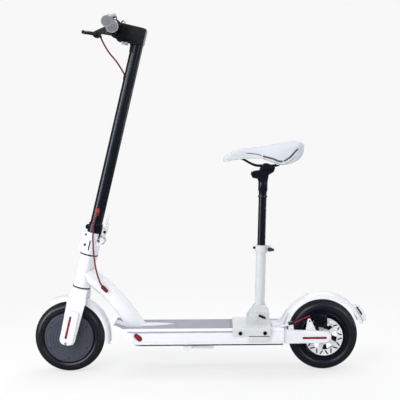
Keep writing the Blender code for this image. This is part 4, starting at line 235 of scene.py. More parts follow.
@dataclass(frozen=True)
class Turned(Finish):
    """A metal face turned or brushed round a wheel's axle, with the fine rings that the tool leaves."""

    centre: Point3 = (0.0, 0.0, 0.0)
    pitch: float = 0.9

    def pattern(self, tree: Tree, shader: Node) -> None:
        """Draws rings round the axle. The real pitch is near 0.2 mm and is drawn coarser so that it shows."""
        point = add_node(tree, "ShaderNodeTexCoord").outputs["Object"]
        away = add_node(tree, "ShaderNodeVectorMath", {0: point, 1: self.centre}, operation="SUBTRACT")
        flat = add_node(tree, "ShaderNodeVectorMath", {0: away.outputs["Vector"], 1: (1.0, 0.0, 1.0)},
                        operation="MULTIPLY")
        radius = add_node(tree, "ShaderNodeVectorMath", {0: flat.outputs["Vector"]}, operation="LENGTH")
        ring = add_node(tree, "ShaderNodeTexNoise", {"W": radius.outputs["Value"],
                                                     "Scale": per_metre(self.pitch), "Detail": 2.0},
                        noise_dimensions="1D")
        cloud = add_node(tree, "ShaderNodeTexNoise", {"Vector": point, "Scale": per_metre(24), "Detail": 5.0})
        both = add_node(tree, "ShaderNodeMath", {0: ring.outputs["Fac"], 1: cloud.outputs["Fac"]},
                        operation="MULTIPLY")
        lifted = add_node(tree, "ShaderNodeMath", {0: both.outputs["Value"], 1: 2.0}, operation="MULTIPLY")
        self.drift(tree, shader, lifted.outputs["Value"])
        self.raise_skin(tree, shader, ring.outputs["Fac"], self.relief)


@dataclass(frozen=True)
class RibbedMat(Finish):
    """A moulded elastomer mat with fine ribs along the deck and dust in its grain."""

    rib: float = 6.0

    def pattern(self, tree: Tree, shader: Node) -> None:
        """Draws ribs 6 mm wide and 12 mm apart along the deck, with the matt grain of the rubber."""
        point = add_node(tree, "ShaderNodeTexCoord").outputs["Object"]
        wave = add_node(tree, "ShaderNodeTexWave", {"Vector": point, "Scale": per_metre(self.rib) * HALF_WAVE,
                                                    "Distortion": 0.0, "Detail": 0.0},
                        bands_direction="Y", wave_profile="SIN")
        rib = add_node(tree, "ShaderNodeMapRange", {"Value": wave.outputs["Fac"], "From Min": 0.35,
                                                    "From Max": 0.65}, interpolation_type="SMOOTHSTEP")
        dust = add_node(tree, "ShaderNodeTexNoise", {"Vector": point, "Scale": per_metre(35), "Detail": 8.0})
        grain = add_node(tree, "ShaderNodeTexNoise", {"Vector": point, "Scale": per_metre(self.grain)})
        self.drift(tree, shader, dust.outputs["Fac"])
        low = add_node(tree, "ShaderNodeBump", {"Height": rib.outputs["Result"], "Distance": 0.0006})
        skin = add_node(tree, "ShaderNodeBump", {"Height": grain.outputs["Fac"], "Distance": self.relief,
                                                 "Normal": low.outputs["Normal"]})
        tree.links.new(skin.outputs["Normal"], shader.inputs["Normal"])


@dataclass(frozen=True)
class Prisms(Finish):
    """A moulded reflector: a smooth face over small corner prisms."""

    def pattern(self, tree: Tree, shader: Node) -> None:
        """Draws the prisms as cells, each with its own tilt and depth of colour."""
        point = add_node(tree, "ShaderNodeTexCoord").outputs["Object"]
        cells = add_node(tree, "ShaderNodeTexVoronoi", {"Vector": point, "Scale": per_metre(self.grain),
                                                        "Randomness": 0.25})
        level = add_node(tree, "ShaderNodeSeparateColor", {"Color": cells.outputs["Color"]})
        self.drift(tree, shader, level.outputs["Red"])
        self.raise_skin(tree, shader, cells.outputs["Distance"], self.relief)


@dataclass(frozen=True)
class Leathercloth(Finish):
    """PU-coated leathercloth over foam: a pebbled grain that catches a soft sheen."""

    def pattern(self, tree: Tree, shader: Node) -> None:
        """Draws the pebbles about 1.6 mm wide, slightly coarser than real ones so that they show."""
        point = add_node(tree, "ShaderNodeTexCoord").outputs["Object"]
        warp = add_node(tree, "ShaderNodeTexNoise", {"Vector": point, "Scale": per_metre(5), "Detail": 2.0})
        bent = add_node(tree, "ShaderNodeVectorMath", {0: warp.outputs["Color"], 1: (0.0015, 0.0015, 0.0015)},
                        operation="MULTIPLY")
        moved = add_node(tree, "ShaderNodeVectorMath", {0: point, 1: bent.outputs["Vector"]}, operation="ADD")
        pebble = add_node(tree, "ShaderNodeTexVoronoi", {"Vector": moved.outputs["Vector"],
                                                         "Scale": per_metre(self.grain)},
                          feature="DISTANCE_TO_EDGE")
        crease = add_node(tree, "ShaderNodeMapRange", {"Value": pebble.outputs["Distance"], "From Min": 0.0,
                                                       "From Max": 0.16}, interpolation_type="SMOOTHSTEP")
        cloud = add_node(tree, "ShaderNodeTexNoise", {"Vector": point, "Scale": per_metre(60), "Detail": 6.0})
        self.drift(tree, shader, cloud.outputs["Fac"])
        self.raise_skin(tree, shader, crease.outputs["Result"], self.relief)


class Look(Enum):
    """Every finish of the scooter."""

    # Powder-coated aluminium: even, cool white, a soft orange-peel that breaks up its highlights
    WHITE_COAT = EdgeWorn("powder_coated_aluminium_white", "white_paint", "#EAECF0", 0.38,
                          spread=0.015, grain=1.6, relief=0.00004, edge="#F8F9FA", rub=0.2)
    # Satin wet paint over steel tube: near black with a cold cast and long, soft highlights
    BLACK_COAT = EdgeWorn("satin_painted_tube_black", "black_paint", "#0D1120", 0.30, coat=0.2,
                          coat_roughness=0.2, spread=0.10, grain=1.2, relief=0.000003, edge="#2A2D33",
                          rub=0.3)
    # Moulded ABS with a spark-eroded mould face: dull black, small broken highlights
    BLACK_ABS = EdgeWorn("moulded_abs_black", "black_plastic", "#0D0F16", 0.42, ior=1.53, spread=0.12,
                         grain=0.7, relief=0.00001, edge="#26282C", rub=0.3)
    # Moulded ABS from a polished mould: bright and even, a touch greyer than the paint
    WHITE_ABS = EdgeWorn("moulded_abs_white", "white_plastic", "#E9EAEE", 0.40, ior=1.53, spread=0.015,
                         relief=0.00002, edge="#FAFAFB", rub=0.2)
    # Powder-coated steel of the seat's carrier: a greyer white than the frame's
    GREY_COAT = EdgeWorn("powder_coated_steel_pale", "white_paint", "#D3D6D6", 0.42, spread=0.03,
                         grain=1.6, relief=0.00004, edge="#E6E8E8", rub=0.2)
    # Moulded elastomer: matt lavender grey with dust in it
    MAT = RibbedMat("moulded_elastomer_grey", "grey_rubber", "#9C9DA9", 0.78, ior=1.52, spread=0.10,
                    grain=0.8, relief=0.00008)
    # Moulded rubber collar of the grip: light silvery grey, soft to the eye
    COLLAR = Finish("moulded_rubber_light_grey", "grip_rubber", "#C6C8CA", 0.60, ior=1.52, spread=0.05,
                    grain=0.8, relief=0.00006)
    # Moulded rubber grip: grey and matt between its ribs
    GRIP = Finish("moulded_rubber_dark_grey", "grip_rubber", "#8A8C90", 0.62, ior=1.52, spread=0.07,
                  grain=0.8, relief=0.00008)
    # Rubber end plug: the grip's rubber, drawn darker as painted shade on the end face, and flat
    PLUG_PAINTED_SHADE = Finish("grip_rubber_painted_shade", "grip_rubber", "#74767A", 0.66, ior=1.52, spread=0.07, grain=0.8,
                  relief=0.00006)
    # Vulcanised tyre rubber: black, dull, with a dusty bloom
    TYRE = EdgeWorn("vulcanised_rubber_black", "tyre_rubber", "#20222A", 0.34, ior=1.52, spread=0.20,
                    grain=1.5, relief=0.00010, edge="#2C2D31", rub=0.4)
    # Cast aluminium hub, turned and painted dark grey: rings round the axle
    HUB = Turned("turned_cast_aluminium_dark", "motor_grey", "#474B56", 0.40, coat=0.15, spread=0.22,
                 relief=0.00004, centre=tuple(FRONT_AXLE))
    # Die-cast aluminium: grey, softly mottled
    CAST = Finish("die_cast_aluminium", "alloy", "#A4A7AB", 0.40, metallic=1.0, spread=0.12, relief=0.00005)
    # Ground stainless steel brake disc: brushed round its axle, less metallic so that it stays bright
    ROTOR = Turned("ground_stainless_steel", "steel", "#F2F3F4", 0.34, metallic=0.15, spread=0.08,
                   relief=0.00002, centre=tuple(REAR_AXLE))
    # Zinc-plated steel: axles, nuts and bright bolts
    ZINC = Finish("zinc_plated_steel", "steel", "#9DA0A5", 0.34, metallic=1.0, spread=0.12, grain=2.0,
                  relief=0.00002)
    # Blackened steel screws: dark with a dull metal gleam
    BLACK_STEEL = Finish("blackened_steel", "steel", "#121316", 0.42, metallic=0.5, spread=0.15,
                         relief=0.00002)
    # Chrome of the bell, drawn light grey, satin and barely metallic: a painted reflection of the bright
    # surround, with no mirror image in it
    CHROME_PAINTED_REFLECTION = Finish("chrome_painted_reflection", "chrome", "#C4C6CA", 0.38, metallic=0.25, spread=0.04,
                    relief=0.00002)
    # Extruded PVC cable sheath: dark wine red, slightly glossy
    SHEATH = Finish("extruded_pvc_red", "red_cable", "#742630", 0.40, ior=1.53, spread=0.10, grain=2.0,
                    relief=0.00002)
    # Moulded silicone of the stem's grommet: a clear warm red
    RED_RUBBER = Finish("moulded_silicone_red", "red_reflector", "#B0202A", 0.48, ior=1.41, spread=0.08,
                        grain=0.9)
    # Moulded silicone of the frame's grommet and the charge flap: a deep wine red
    WINE_RUBBER = Finish("moulded_silicone_wine", "red_reflector", "#75141F", 0.46, ior=1.41, spread=0.12,
                         grain=0.9)
    # Moulded acrylic reflector: deep red with prisms below a smooth face
    REFLECTOR = Prisms("prismatic_acrylic_red", "red_reflector", "#92202A", 0.32, ior=1.49, coat=0.5,
                       spread=0.30, grain=1.8, relief=0.00015)
    # Smoked acrylic over the tail light: almost black, wet-looking
    SMOKED = Prisms("smoked_acrylic", "red_reflector", "#260C10", 0.26, ior=1.49, coat=0.5, spread=0.30,
                    grain=1.8, relief=0.00010)
    # PU leathercloth: pale lavender-grey saddle cover
    SADDLE = Leathercloth("pu_leathercloth_pale", "saddle_cover", "#CDD0D6", 0.54, ior=1.48, sheen=0.1,
                          spread=0.03, grain=1.6, relief=0.00012)
    # Painted shade: the dark lines along the cover's sewn channels, standing for the shade in those creases
    CHANNEL_SHADE = Finish("channel_painted_shade_dark", "saddle_cover", "#4A4B55", 0.80, sheen=0.3, spread=0.15,
                    grain=0.5, relief=0.00010)
    # Shrink-wrapped PVC over the cells
    WRAP = Finish("shrink_pvc_blue", "battery_wrap", "#2A5078", 0.40, ior=1.53, coat=0.2,
                  grain=9.0, relief=0.00010)
    # Polished polycarbonate over the display: black glass look
    PANEL = Finish("polished_polycarbonate_black", "gloss_black", "#0B0C0E", 0.10, ior=1.58, coat=0.8,
                   coat_roughness=0.03, spread=0.05, grain=30.0, relief=0.00001)
    # Frosted polycarbonate lens: pale, lets some light through
    LENS = Finish("frosted_polycarbonate", "clear_lens", "#DCE0E6", 0.22, ior=1.58, coat=0.5,
                  transmission=0.35, spread=0.03, grain=2.0, relief=0.00004)


class Drive(Enum):
    """The recess in a bolt's head."""

    HEX = "hex"
    STAR = "star"


# Mesh making
def piece_of(name: str, mesh: bpy.types.Mesh, where: Matrix = WORLD, crease: float = CREASE_ANGLE) -> Piece:
    """Puts a mesh into the scene with its coordinates in the scooter's frame.

    Args:
        name: the piece's name.
        mesh: its mesh in the frame of `where`.
        where: the frame that it was drawn in.
        crease: the angle in degrees above which an edge stays sharp.

    Returns:
        The new object, standing at the origin.
    """
    mesh.transform(where)
    mesh.shade_smooth()
    mesh.set_sharp_from_angle(angle=math.radians(crease))
    made = bpy.data.objects.new(name, mesh)
    bpy.context.scene.collection.objects.link(made)
    return made


def from_shape(name: str, shape: bmesh.types.BMesh, where: Matrix = WORLD,
               crease: float = CREASE_ANGLE) -> Piece:
    """Turns a bmesh into a piece, its faces turned outward."""
    bmesh.ops.recalc_face_normals(shape, faces=shape.faces)
    mesh = bpy.data.meshes.new(name)
    shape.to_mesh(mesh)
    shape.free()
    return piece_of(name, mesh, where, crease)


def arc(radius: float, start: float, end: float, steps: int, centre: Point2 = (0.0, 0.0)) -> list[Point2]:
    """Points along an arc, angles in degrees from +x toward +y."""
    angles = [math.radians(start + (end - start) * i / steps) for i in range(steps + 1)]
    return [(centre[0] + radius * math.cos(a), centre[1] + radius * math.sin(a)) for a in angles]


def both_sides(half: list[Point2]) -> list[Point2]:
    """An outline's upper half followed by its mirror image below."""
    return half + [(r, -z) for r, z in reversed(half)]


def rounded(corners: Sequence[tuple[float, float, float]], steps: int = 5) -> list[Point2]:
    """A closed outline through (x, y, radius) corners, each turned by its own arc.

    Args:
        corners: the corners in order.
        steps: the steps of each arc.

    Returns:
        The outline's points.
    """
    points = []
    for index, (x, y, radius) in enumerate(corners):
        here = Vector((x, y))
        to_last = Vector(corners[index - 1][:2]) - here
        to_next = Vector(corners[(index + 1) % len(corners)][:2]) - here
        half = to_last.angle(to_next) / 2
        reach = min(radius / math.tan(half), 0.49 * to_last.length, 0.49 * to_next.length)
        if reach < 1e-6:
            points.append((x, y))
            continue
        radius = reach * math.tan(half)
        middle = here + (to_last.normalized() + to_next.normalized()).normalized() * radius / math.sin(half)
        start = here + to_last.normalized() * reach - middle
        sweep = start.angle_signed(here + to_next.normalized() * reach - middle)
        for step in range(steps + 1):
            spoke = start.copy()
            spoke.rotate(Matrix.Rotation(-sweep * step / steps, 2))
            points.append(tuple(middle + spoke))
    return points


def oblong(long_: float, wide: float, radius: float, centre: Point2 = (0.0, 0.0)) -> list[Point2]:
    """An oblong with rounded corners about a centre."""
    x, y = long_ / 2, wide / 2
    signs = ((-1, -1), (1, -1), (1, 1), (-1, 1))
    return rounded([(centre[0] + i * x, centre[1] + j * y, radius) for i, j in signs])


def lathe(name: str, profile: Sequence[Point2], where: Matrix, steps: int = 64, closed: bool = False,
          crease: float = CREASE_ANGLE, shift: Callable[[int, int], float] | None = None) -> Piece:
    """Turns a profile of (radius, height) points about the frame's local Z.

    Args:
        name: the piece's name.
        profile: the points in order.
        where: the frame.
        steps: the steps round the axis.
        closed: whether the profile's last point joins its first.
        crease: the angle above which an edge stays sharp.
        shift: the radial shift of a point by its number and its step, for grooves and flats.

    Returns:
        The turned piece.
    """
    shape = bmesh.new()
    rings = []
    for index, (radius, height) in enumerate(profile):
        if radius < 1e-7:
            rings.append([shape.verts.new((0, 0, height))] * steps)
            continue
        ring = []
        for step in range(steps):
            angle = 2 * math.pi * step / steps
            reach = radius + (shift(index, step) if shift else 0.0)
            ring.append(shape.verts.new((reach * math.cos(angle), reach * math.sin(angle), height)))
        rings.append(ring)
    pairs = list(zip(rings, rings[1:]))
    if closed:
        pairs.append((rings[-1], rings[0]))
    for first, second in pairs:
        for i in range(steps):
            j = (i + 1) % steps
            corners = list(dict.fromkeys((first[i], first[j], second[j], second[i])))
            if len(corners) > 2:
                shape.faces.new(corners)
    return from_shape(name, shape, where, crease)


def slab(name: str, outline: Sequence[Point2], thickness: float, where: Matrix,
         holes: Iterable[Sequence[Point2]] = (), edge: float = 0.0005) -> Piece:
    """A flat outline with holes, run through half its thickness each way along local Z.

    Args:
        name: the piece's name.
        outline: the outer points.
        thickness: the whole thickness.
        where: the frame.
        holes: outlines of the holes.
        edge: the width of the rounded edges.

    Returns:
        The slab, its edges softened.
    """
    curve = bpy.data.curves.new(name, "CURVE")
    curve.dimensions = "2D"
    curve.fill_mode = "BOTH"
    curve.extrude = thickness / 2
    for loop in (outline, *holes):
        spline = curve.splines.new("POLY")
        spline.points.add(len(loop) - 1)
        for point, (x, y) in zip(spline.points, loop):
            point.co = (x, y, 0, 1)
        spline.use_cyclic_u = True
    drawn = bpy.data.objects.new(name, curve)
    bpy.context.scene.collection.objects.link(drawn)
    mesh = evaluated_mesh(drawn)
    bpy.data.objects.remove(drawn)
    return soften(piece_of(name, tidied(mesh), where), edge)


def evaluated_mesh(item: Piece) -> bpy.types.Mesh:
    """The mesh of an object as its modifiers or its curve leave it."""
    bpy.context.view_layer.update()
    return bpy.data.meshes.new_from_object(item.evaluated_get(bpy.context.evaluated_depsgraph_get()))


def tidied(mesh: bpy.types.Mesh) -> bpy.types.Mesh:
    """Joins a mesh's doubled corners and the triangles that lie in one plane."""
    shape = bmesh.new()
    shape.from_mesh(mesh)
    bmesh.ops.remove_doubles(shape, verts=shape.verts, dist=MERGE)
    bmesh.ops.dissolve_limit(shape, angle_limit=math.radians(1.0), verts=shape.verts, edges=shape.edges)
    bmesh.ops.recalc_face_normals(shape, faces=shape.faces)
    mesh.clear_geometry()
    shape.to_mesh(mesh)
    shape.free()
    return mesh


def soften(item: Piece, width: float, angle: float = ROUNDED_ANGLE, segments: int = 2) -> Piece:
    """Rounds a piece's sharp edges and evens its shading.

    Args:
        item: the piece.
        width: the rounding's width, or zero for none.
        angle: the angle in degrees above which an edge is rounded.
        segments: the facets of each rounding.

    Returns:
        The same piece.
    """
    if width > 0:
        edge = item.modifiers.new("edges", "BEVEL")
        edge.width = width
        edge.segments = segments
        edge.limit_method = "ANGLE"
        edge.angle_limit = math.radians(angle)
        edge.use_clamp_overlap = True
    shading = item.modifiers.new("shading", "WEIGHTED_NORMAL")
    shading.keep_sharp = True
    shading.weight = 60
    return item


def carve(item: Piece, *tools: Piece) -> Piece:
    """Cuts tools out of a piece and settles the result.

    Args:
        item: the piece.
        tools: the shapes that are cut out, which are then removed.

    Returns:
        The piece, with a plain mesh.
    """
    item.modifiers.clear()
    for tool in tools:
        tool.modifiers.clear()
        step = item.modifiers.new("cut", "BOOLEAN")
        step.object = tool
        step.operation = "DIFFERENCE"
        step.solver = "EXACT"
    item.data = tidied(evaluated_mesh(item))
    item.modifiers.clear()
    item.data.shade_smooth()
    item.data.set_sharp_from_angle(angle=math.radians(CREASE_ANGLE))
    for tool in tools:
        bpy.data.objects.remove(tool)
    return item


def smooth_route(points: Sequence[Point3], spacing: float) -> list[Vector]:
    """Even points along a smooth curve through the given ones.

    Args:
        points: the points that the curve passes.
        spacing: about how far apart the result's points lie.

    Returns:
        The points of the curve.
    """
    knots = [Vector(p) for p in points]
    knots = [2 * knots[0] - knots[1], *knots, 2 * knots[-1] - knots[-2]]
    fine = []
    for a, b, c, d in zip(knots, knots[1:], knots[2:], knots[3:]):
        for step in range(16):
            t = step / 16
            fine.append(0.5 * (2 * b + (c - a) * t + (2 * a - 5 * b + 4 * c - d) * t * t
                               + (3 * b - a - 3 * c + d) * t ** 3))
    fine.append(knots[-2])
    total = sum((q - p).length for p, q in zip(fine, fine[1:]))
    count = max(2, round(total / spacing))
    route, walked, due = [fine[0]], 0.0, total / count
    for p, q in zip(fine, fine[1:]):
        length = (q - p).length
        while walked + length >= due - 1e-9 and len(route) < count:
            route.append(p.lerp(q, (due - walked) / length))
            due += total / count
        walked += length
    route.append(fine[-1])
    return route


def wire(name: str, route: Sequence[Vector], radius: float, where: Matrix = WORLD, sides: int = 14,
         radii: Sequence[float] | None = None, squeeze: float = 1.0) -> Piece:
    """A round or oval bar along a route, with closed, slightly rounded ends.

    Args:
        name: the piece's name.
        route: the points of its middle line.
        radius: its radius.
        where: the frame.
        sides: the sides round it.
        radii: a factor on the radius at each point.
        squeeze: a factor on the bar's size across local Z.

    Returns:
        The bar.
    """
    shape = bmesh.new()
    points = [Vector(p) for p in route]
    normal = None
    rings = []
    for index, point in enumerate(points):
        along = (points[min(index + 1, len(points) - 1)] - points[max(index - 1, 0)]).normalized()
        if normal is None:
            normal = along.orthogonal().normalized()
        normal = (normal - along * normal.dot(along)).normalized()
        side = along.cross(normal)
        reach = radius * (radii[index] if radii else 1.0)
        ring = []
        for step in range(sides):
            angle = 2 * math.pi * step / sides
            spoke = normal * math.cos(angle) * reach + side * math.sin(angle) * reach
            spoke.z *= squeeze
            ring.append(shape.verts.new(point + spoke))
        rings.append(ring)
    for first, second in zip(rings, rings[1:]):
        for i in range(sides):
            j = (i + 1) % sides
            shape.faces.new((first[i], first[j], second[j], second[i]))
    shape.faces.new(rings[0])
    shape.faces.new(rings[-1])
    return from_shape(name, shape, where, 50)


def pointing(at: Point3 | Vector, direction: Point3 | Vector, base: Matrix = WORLD) -> Matrix:
    """A frame at a point whose local Z points along a direction, both given in the base frame."""
    turn = Vector(direction).to_track_quat("Z", "Y").to_matrix().to_4x4()
    return base @ Matrix.Translation(Vector(at)) @ turn


def side_view(y: float = 0.0, base: Matrix = WORLD) -> Matrix:
    """A frame whose local X and Y span the side view at a distance from the middle plane, Z to the left."""
    return base @ Matrix.Translation((0, y, 0)) @ SIDE


def bolt(name: str, where: Matrix, radius: float, height: float, drive: Drive = Drive.HEX) -> Piece:
    """A bolt head that stands on the frame's local origin, with its drive recess.

    Args:
        name: the piece's name.
        where: the frame, its Z out of the surface.
        radius: the head's radius.
        height: how far it stands out.
        drive: the shape of the recess.

    Returns:
        The head, with a short shank below the surface.
    """
    inner = radius * 0.52
    floor = height - min(height * 0.7, radius * 0.7)
    profile = [(0.0, floor), (inner, floor), (inner, height), (radius * 0.86, height),
               (radius, height * 0.72), (radius, -0.0006), (0.0, -0.0006)]

    def flats(index: int, step: int) -> float:
        """How far the recess wall stands in at this step."""
        if index not in (1, 2):
            return 0.0
        turn = (step * 360 / BOLT_SIDES) % 60
        if drive is Drive.HEX:
            return inner * (math.cos(math.radians(30)) / math.cos(math.radians(turn - 30)) - 1)
        return -inner * 0.16 * (1 - math.cos(math.radians(6 * step * 360 / BOLT_SIDES)))

    return lathe(name, profile, where, steps=BOLT_SIDES, shift=flats)


def stud(name: str, where: Matrix) -> Piece:
    """A low round stud, such as the dark end of a reflector."""
    return lathe(name, [(0.0, 0.0006), (0.0024, 0.0004), (0.0027, 0.0), (0.0, 0.0)], where, 24)


class Workshop:
    """Makes finishes once, dresses pieces in them and ties the pieces to the model's bodies."""

    def __init__(self) -> None:
        """Starts with no finishes made."""
        self.made: dict[Look, bpy.types.Material] = {}

    def finish(self, look: Look) -> bpy.types.Material:
        """The Blender material of a finish, made at its first use."""
        if look not in self.made:
            self.made[look] = look.value.make()
        return self.made[look]

    def fit(self, item: Piece, body: str, look: Look, *nodes: str) -> Piece:
        """Dresses a piece, ties it to a body and hides the model nodes that it stands in for.

        Args:
            item: the piece.
            body: the body that it moves with.
            look: its finish.
            nodes: the nodes of the model that it replaces.

        Returns:
            The same piece.
        """
        self.dress(item, look)
        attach(item, body)
        if nodes:
            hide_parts(*nodes)
        log.info("%s rides on %s in %s", item.name, body, look.value.name)
        return item

    def screw(self, name: str, body: str, at: Point3 | Vector, out: Point3, radius: float, height: float,
              look: Look = Look.BLACK_STEEL, drive: Drive = Drive.HEX, base: Matrix = WORLD) -> None:
        """Fits a bolt head on a surface.

        Args:
            name: the piece's name.
            body: the body that it moves with.
            at: the point of the surface, in the base frame.
            out: the direction that the head stands out in.
            radius: the head's radius.
            height: how far it stands out.
            look: its finish.
            drive: the shape of its recess.
            base: the frame of the point and the direction.
        """
        self.fit(bolt(name, pointing(at, out, base), radius, height, drive), body, look)

    def dress(self, item: Piece, look: Look) -> None:
        """Gives a piece its finish."""
        item.data.materials.clear()
        item.data.materials.append(self.finish(look))

    def repaint(self, node: str, look: Look) -> None:
        """Gives a node of the model a finish and leaves its shape."""
        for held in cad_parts[node].material_slots:
            held.material = self.finish(look)

    def refine(self, node: str, body: str, look: Look, edge: float = 0.0008, angle: float = ROUNDED_ANGLE,
               tools: Sequence[Piece] = (), segments: int = 2, name: str = "") -> Piece:
        """A node's own form with rounded edges and even shading, in place of the node.

        Args:
            node: the node.
            body: the body that it belongs to.
            look: its finish.
            edge: the width of the rounding.
            angle: the angle above which an edge is rounded.
            tools: shapes that are cut out of it first.
            segments: the facets of each rounding.
            name: a name of its own, for a second piece from the same node.

        Returns:
            The new piece.
        """
        mesh = tidied(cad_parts[node].data.copy())
        item = piece_of(name or f"{node}_form", mesh)
        if tools:
            carve(item, *tools)
        return self.fit(soften(item, edge, angle, segments), body, look, *([] if name else [node]))


@dataclass
class SubAssembly:
    """A group of pieces that one part of the scooter's making brings together."""

    shop: Workshop

    def build(self) -> None:
        """Builds and dresses every piece of the group."""
        raise NotImplementedError


# Wheels
@dataclass
class Tyre:
    """A small pneumatic tyre with a grooved tread and moulded sidewall rings."""

    radius: float = 0.111
    half: float = 0.025
    bead: float = 0.0783
    foot: float = 0.0165
    groove: float = 0.0011
    steps: int = 168

    def outline(self) -> list[tuple[float, float, float, bool]]:
        """Half of the section, from the crown to the bead.

        Returns:
            Points of (radius, distance from the middle plane, groove depth, whether a cross cut runs here).
        """
        middle = self.bead + 0.010
        crown = self.radius - middle

        def reach(z: float) -> float:
            """The carcass radius at a distance from the middle plane."""
            return middle + crown * math.sqrt(max(0.0, 1 - (z / self.half) ** 2))

        tread = [(0.0, 1, False), (0.0009, 1, False), (0.0013, 0, False), (0.0046, 0, False),
                 (0.0076, 0, False), (0.0080, 1, False), (0.0096, 1, False), (0.0100, 0, False),
                 (0.0128, 0, True), (0.0155, 0, True), (0.0180, 0, True), (0.0198, 0, False),
                 (0.0213, 0, False), (0.0226, 0, False), (0.0236, 0, False)]
        half = [(reach(z), z, self.groove * deep, cut) for z, deep, cut in tread]
        wall = [(0.0958, 0.0240), (0.0952, 0.0249), (0.0938, 0.0251), (0.0930, 0.0240), (0.0905, 0.0242),
                (0.0897, 0.0256), (0.0883, 0.0256), (0.0873, 0.0242), (0.0850, 0.0236), (0.0826, 0.0218),
                (0.0808, 0.0196), (self.bead, self.foot)]
        return half + [(r, z, 0.0, False) for r, z in wall]

    def make(self, name: str, axle: Vector) -> Piece:
        """Builds the tyre about an axle.

        Args:
            name: the piece's name.
            axle: the axle's middle.

        Returns:
            The tyre.
        """
        half = self.outline()
        whole = [(r, -z, g, c) for r, z, g, c in reversed(half)] + half[1:]
        inner = [(self.bead, self.foot - 0.0045), (self.radius - 0.0063, self.foot - 0.0045),
                 (self.radius - 0.0063, 0.0045 - self.foot), (self.bead, 0.0045 - self.foot)]
        profile = [(r - g, z) for r, z, g, _ in whole] + inner

        def cuts(index: int, step: int) -> float:
            """The cross cuts on the shoulders, slanted from point to point."""
            if index >= len(whole) or not whole[index][3]:
                return 0.0
            slant = round(abs(whole[index][1]) * 900)
            return -0.0009 if (step + slant) % 4 == 0 else 0.0

        where = Matrix.Translation(axle) @ SIDE
        return lathe(name, profile, where, self.steps, closed=True, crease=40, shift=cuts)


@dataclass
class FrontWheel(SubAssembly):
    """The front tyre and the turning shell of the hub motor."""

    hub_radius: float = 0.0795
    half_width: float = 0.026
    screw_circle: float = 0.0655

    def build(self) -> None:
        """Builds the front wheel."""
        self.shop.fit(Tyre().make("front_tyre_tread", FRONT_AXLE), "front_wheel", Look.TYRE, "front_tyre")
        self.hub()
        self.trim()
        self.shop.repaint("motor_stator", Look.CAST)

    def face(self) -> list[Point2]:
        """The side plate's profile from the axle outward: stepped rings with shallow grooves."""
        height = self.half_width
        points = [(0.0063, height + 0.0020), (0.0180, height + 0.0020), (0.0190, height + 0.0012),
                  (0.0228, height - 0.0008)]
        for radius in (0.0300, 0.0390, 0.0480, 0.0570):
            points += [(radius, height - 0.0010), (radius + 0.0004, height - 0.0018),
                       (radius + 0.0016, height - 0.0018), (radius + 0.0020, height - 0.0010)]
        points += [(0.0700, height - 0.0014), (0.0706, height - 0.0026), (0.0722, height - 0.0026),
                   (0.0728, height - 0.0016), (0.0768, height - 0.0020), (self.hub_radius, height - 0.0030),
                   (self.hub_radius, height - 0.0050), (0.0780, height - 0.0072)]
        return points

    def hub(self) -> None:
        """Builds the motor's shell with a grooved plate on each side."""
        inner = [(0.0063, -0.0210), (0.0620, -0.0210), (0.0620, 0.0210), (0.0063, 0.0210)]
        where = Matrix.Translation(FRONT_AXLE) @ SIDE
        shell = lathe("hub_motor_shell", both_sides(self.face()) + inner, where, 120, closed=True, crease=28)
        self.shop.fit(shell, "front_wheel", Look.HUB, "motor_shell")

    def trim(self) -> None:
        """Adds the edge ring of each plate, painted black as the shade of the gap to the tyre, and the plate
        screws on both sides.
        """
        for side, label in ((-1, "left"), (1, "right")):
            face = FRONT_AXLE + Vector((0, side * (self.half_width - 0.0014), 0))
            where = pointing(face, (0, side, 0))
            # Painted shade: the ring is black to stand for the dark gap between the hub and the tyre
            ring = [(0.0772, -0.0012), (0.0772, -0.0002), (0.0778, 0.0003), (0.0790, -0.0003),
                    (0.0797, -0.0014)]
            self.shop.fit(lathe(f"hub_edge_shade_{label}", ring, where, 120, closed=True), "front_wheel",
                          Look.BLACK_COAT)
            for index in range(6):
                angle = math.radians(60 * index + 30)
                spot = face + Vector((self.screw_circle * math.cos(angle), -side * 0.0002,
                                      self.screw_circle * math.sin(angle)))
                self.shop.screw(f"hub_screw_{label}_{index}", "front_wheel", spot, (0, side, 0), 0.0026,
                                0.0010, drive=Drive.STAR)


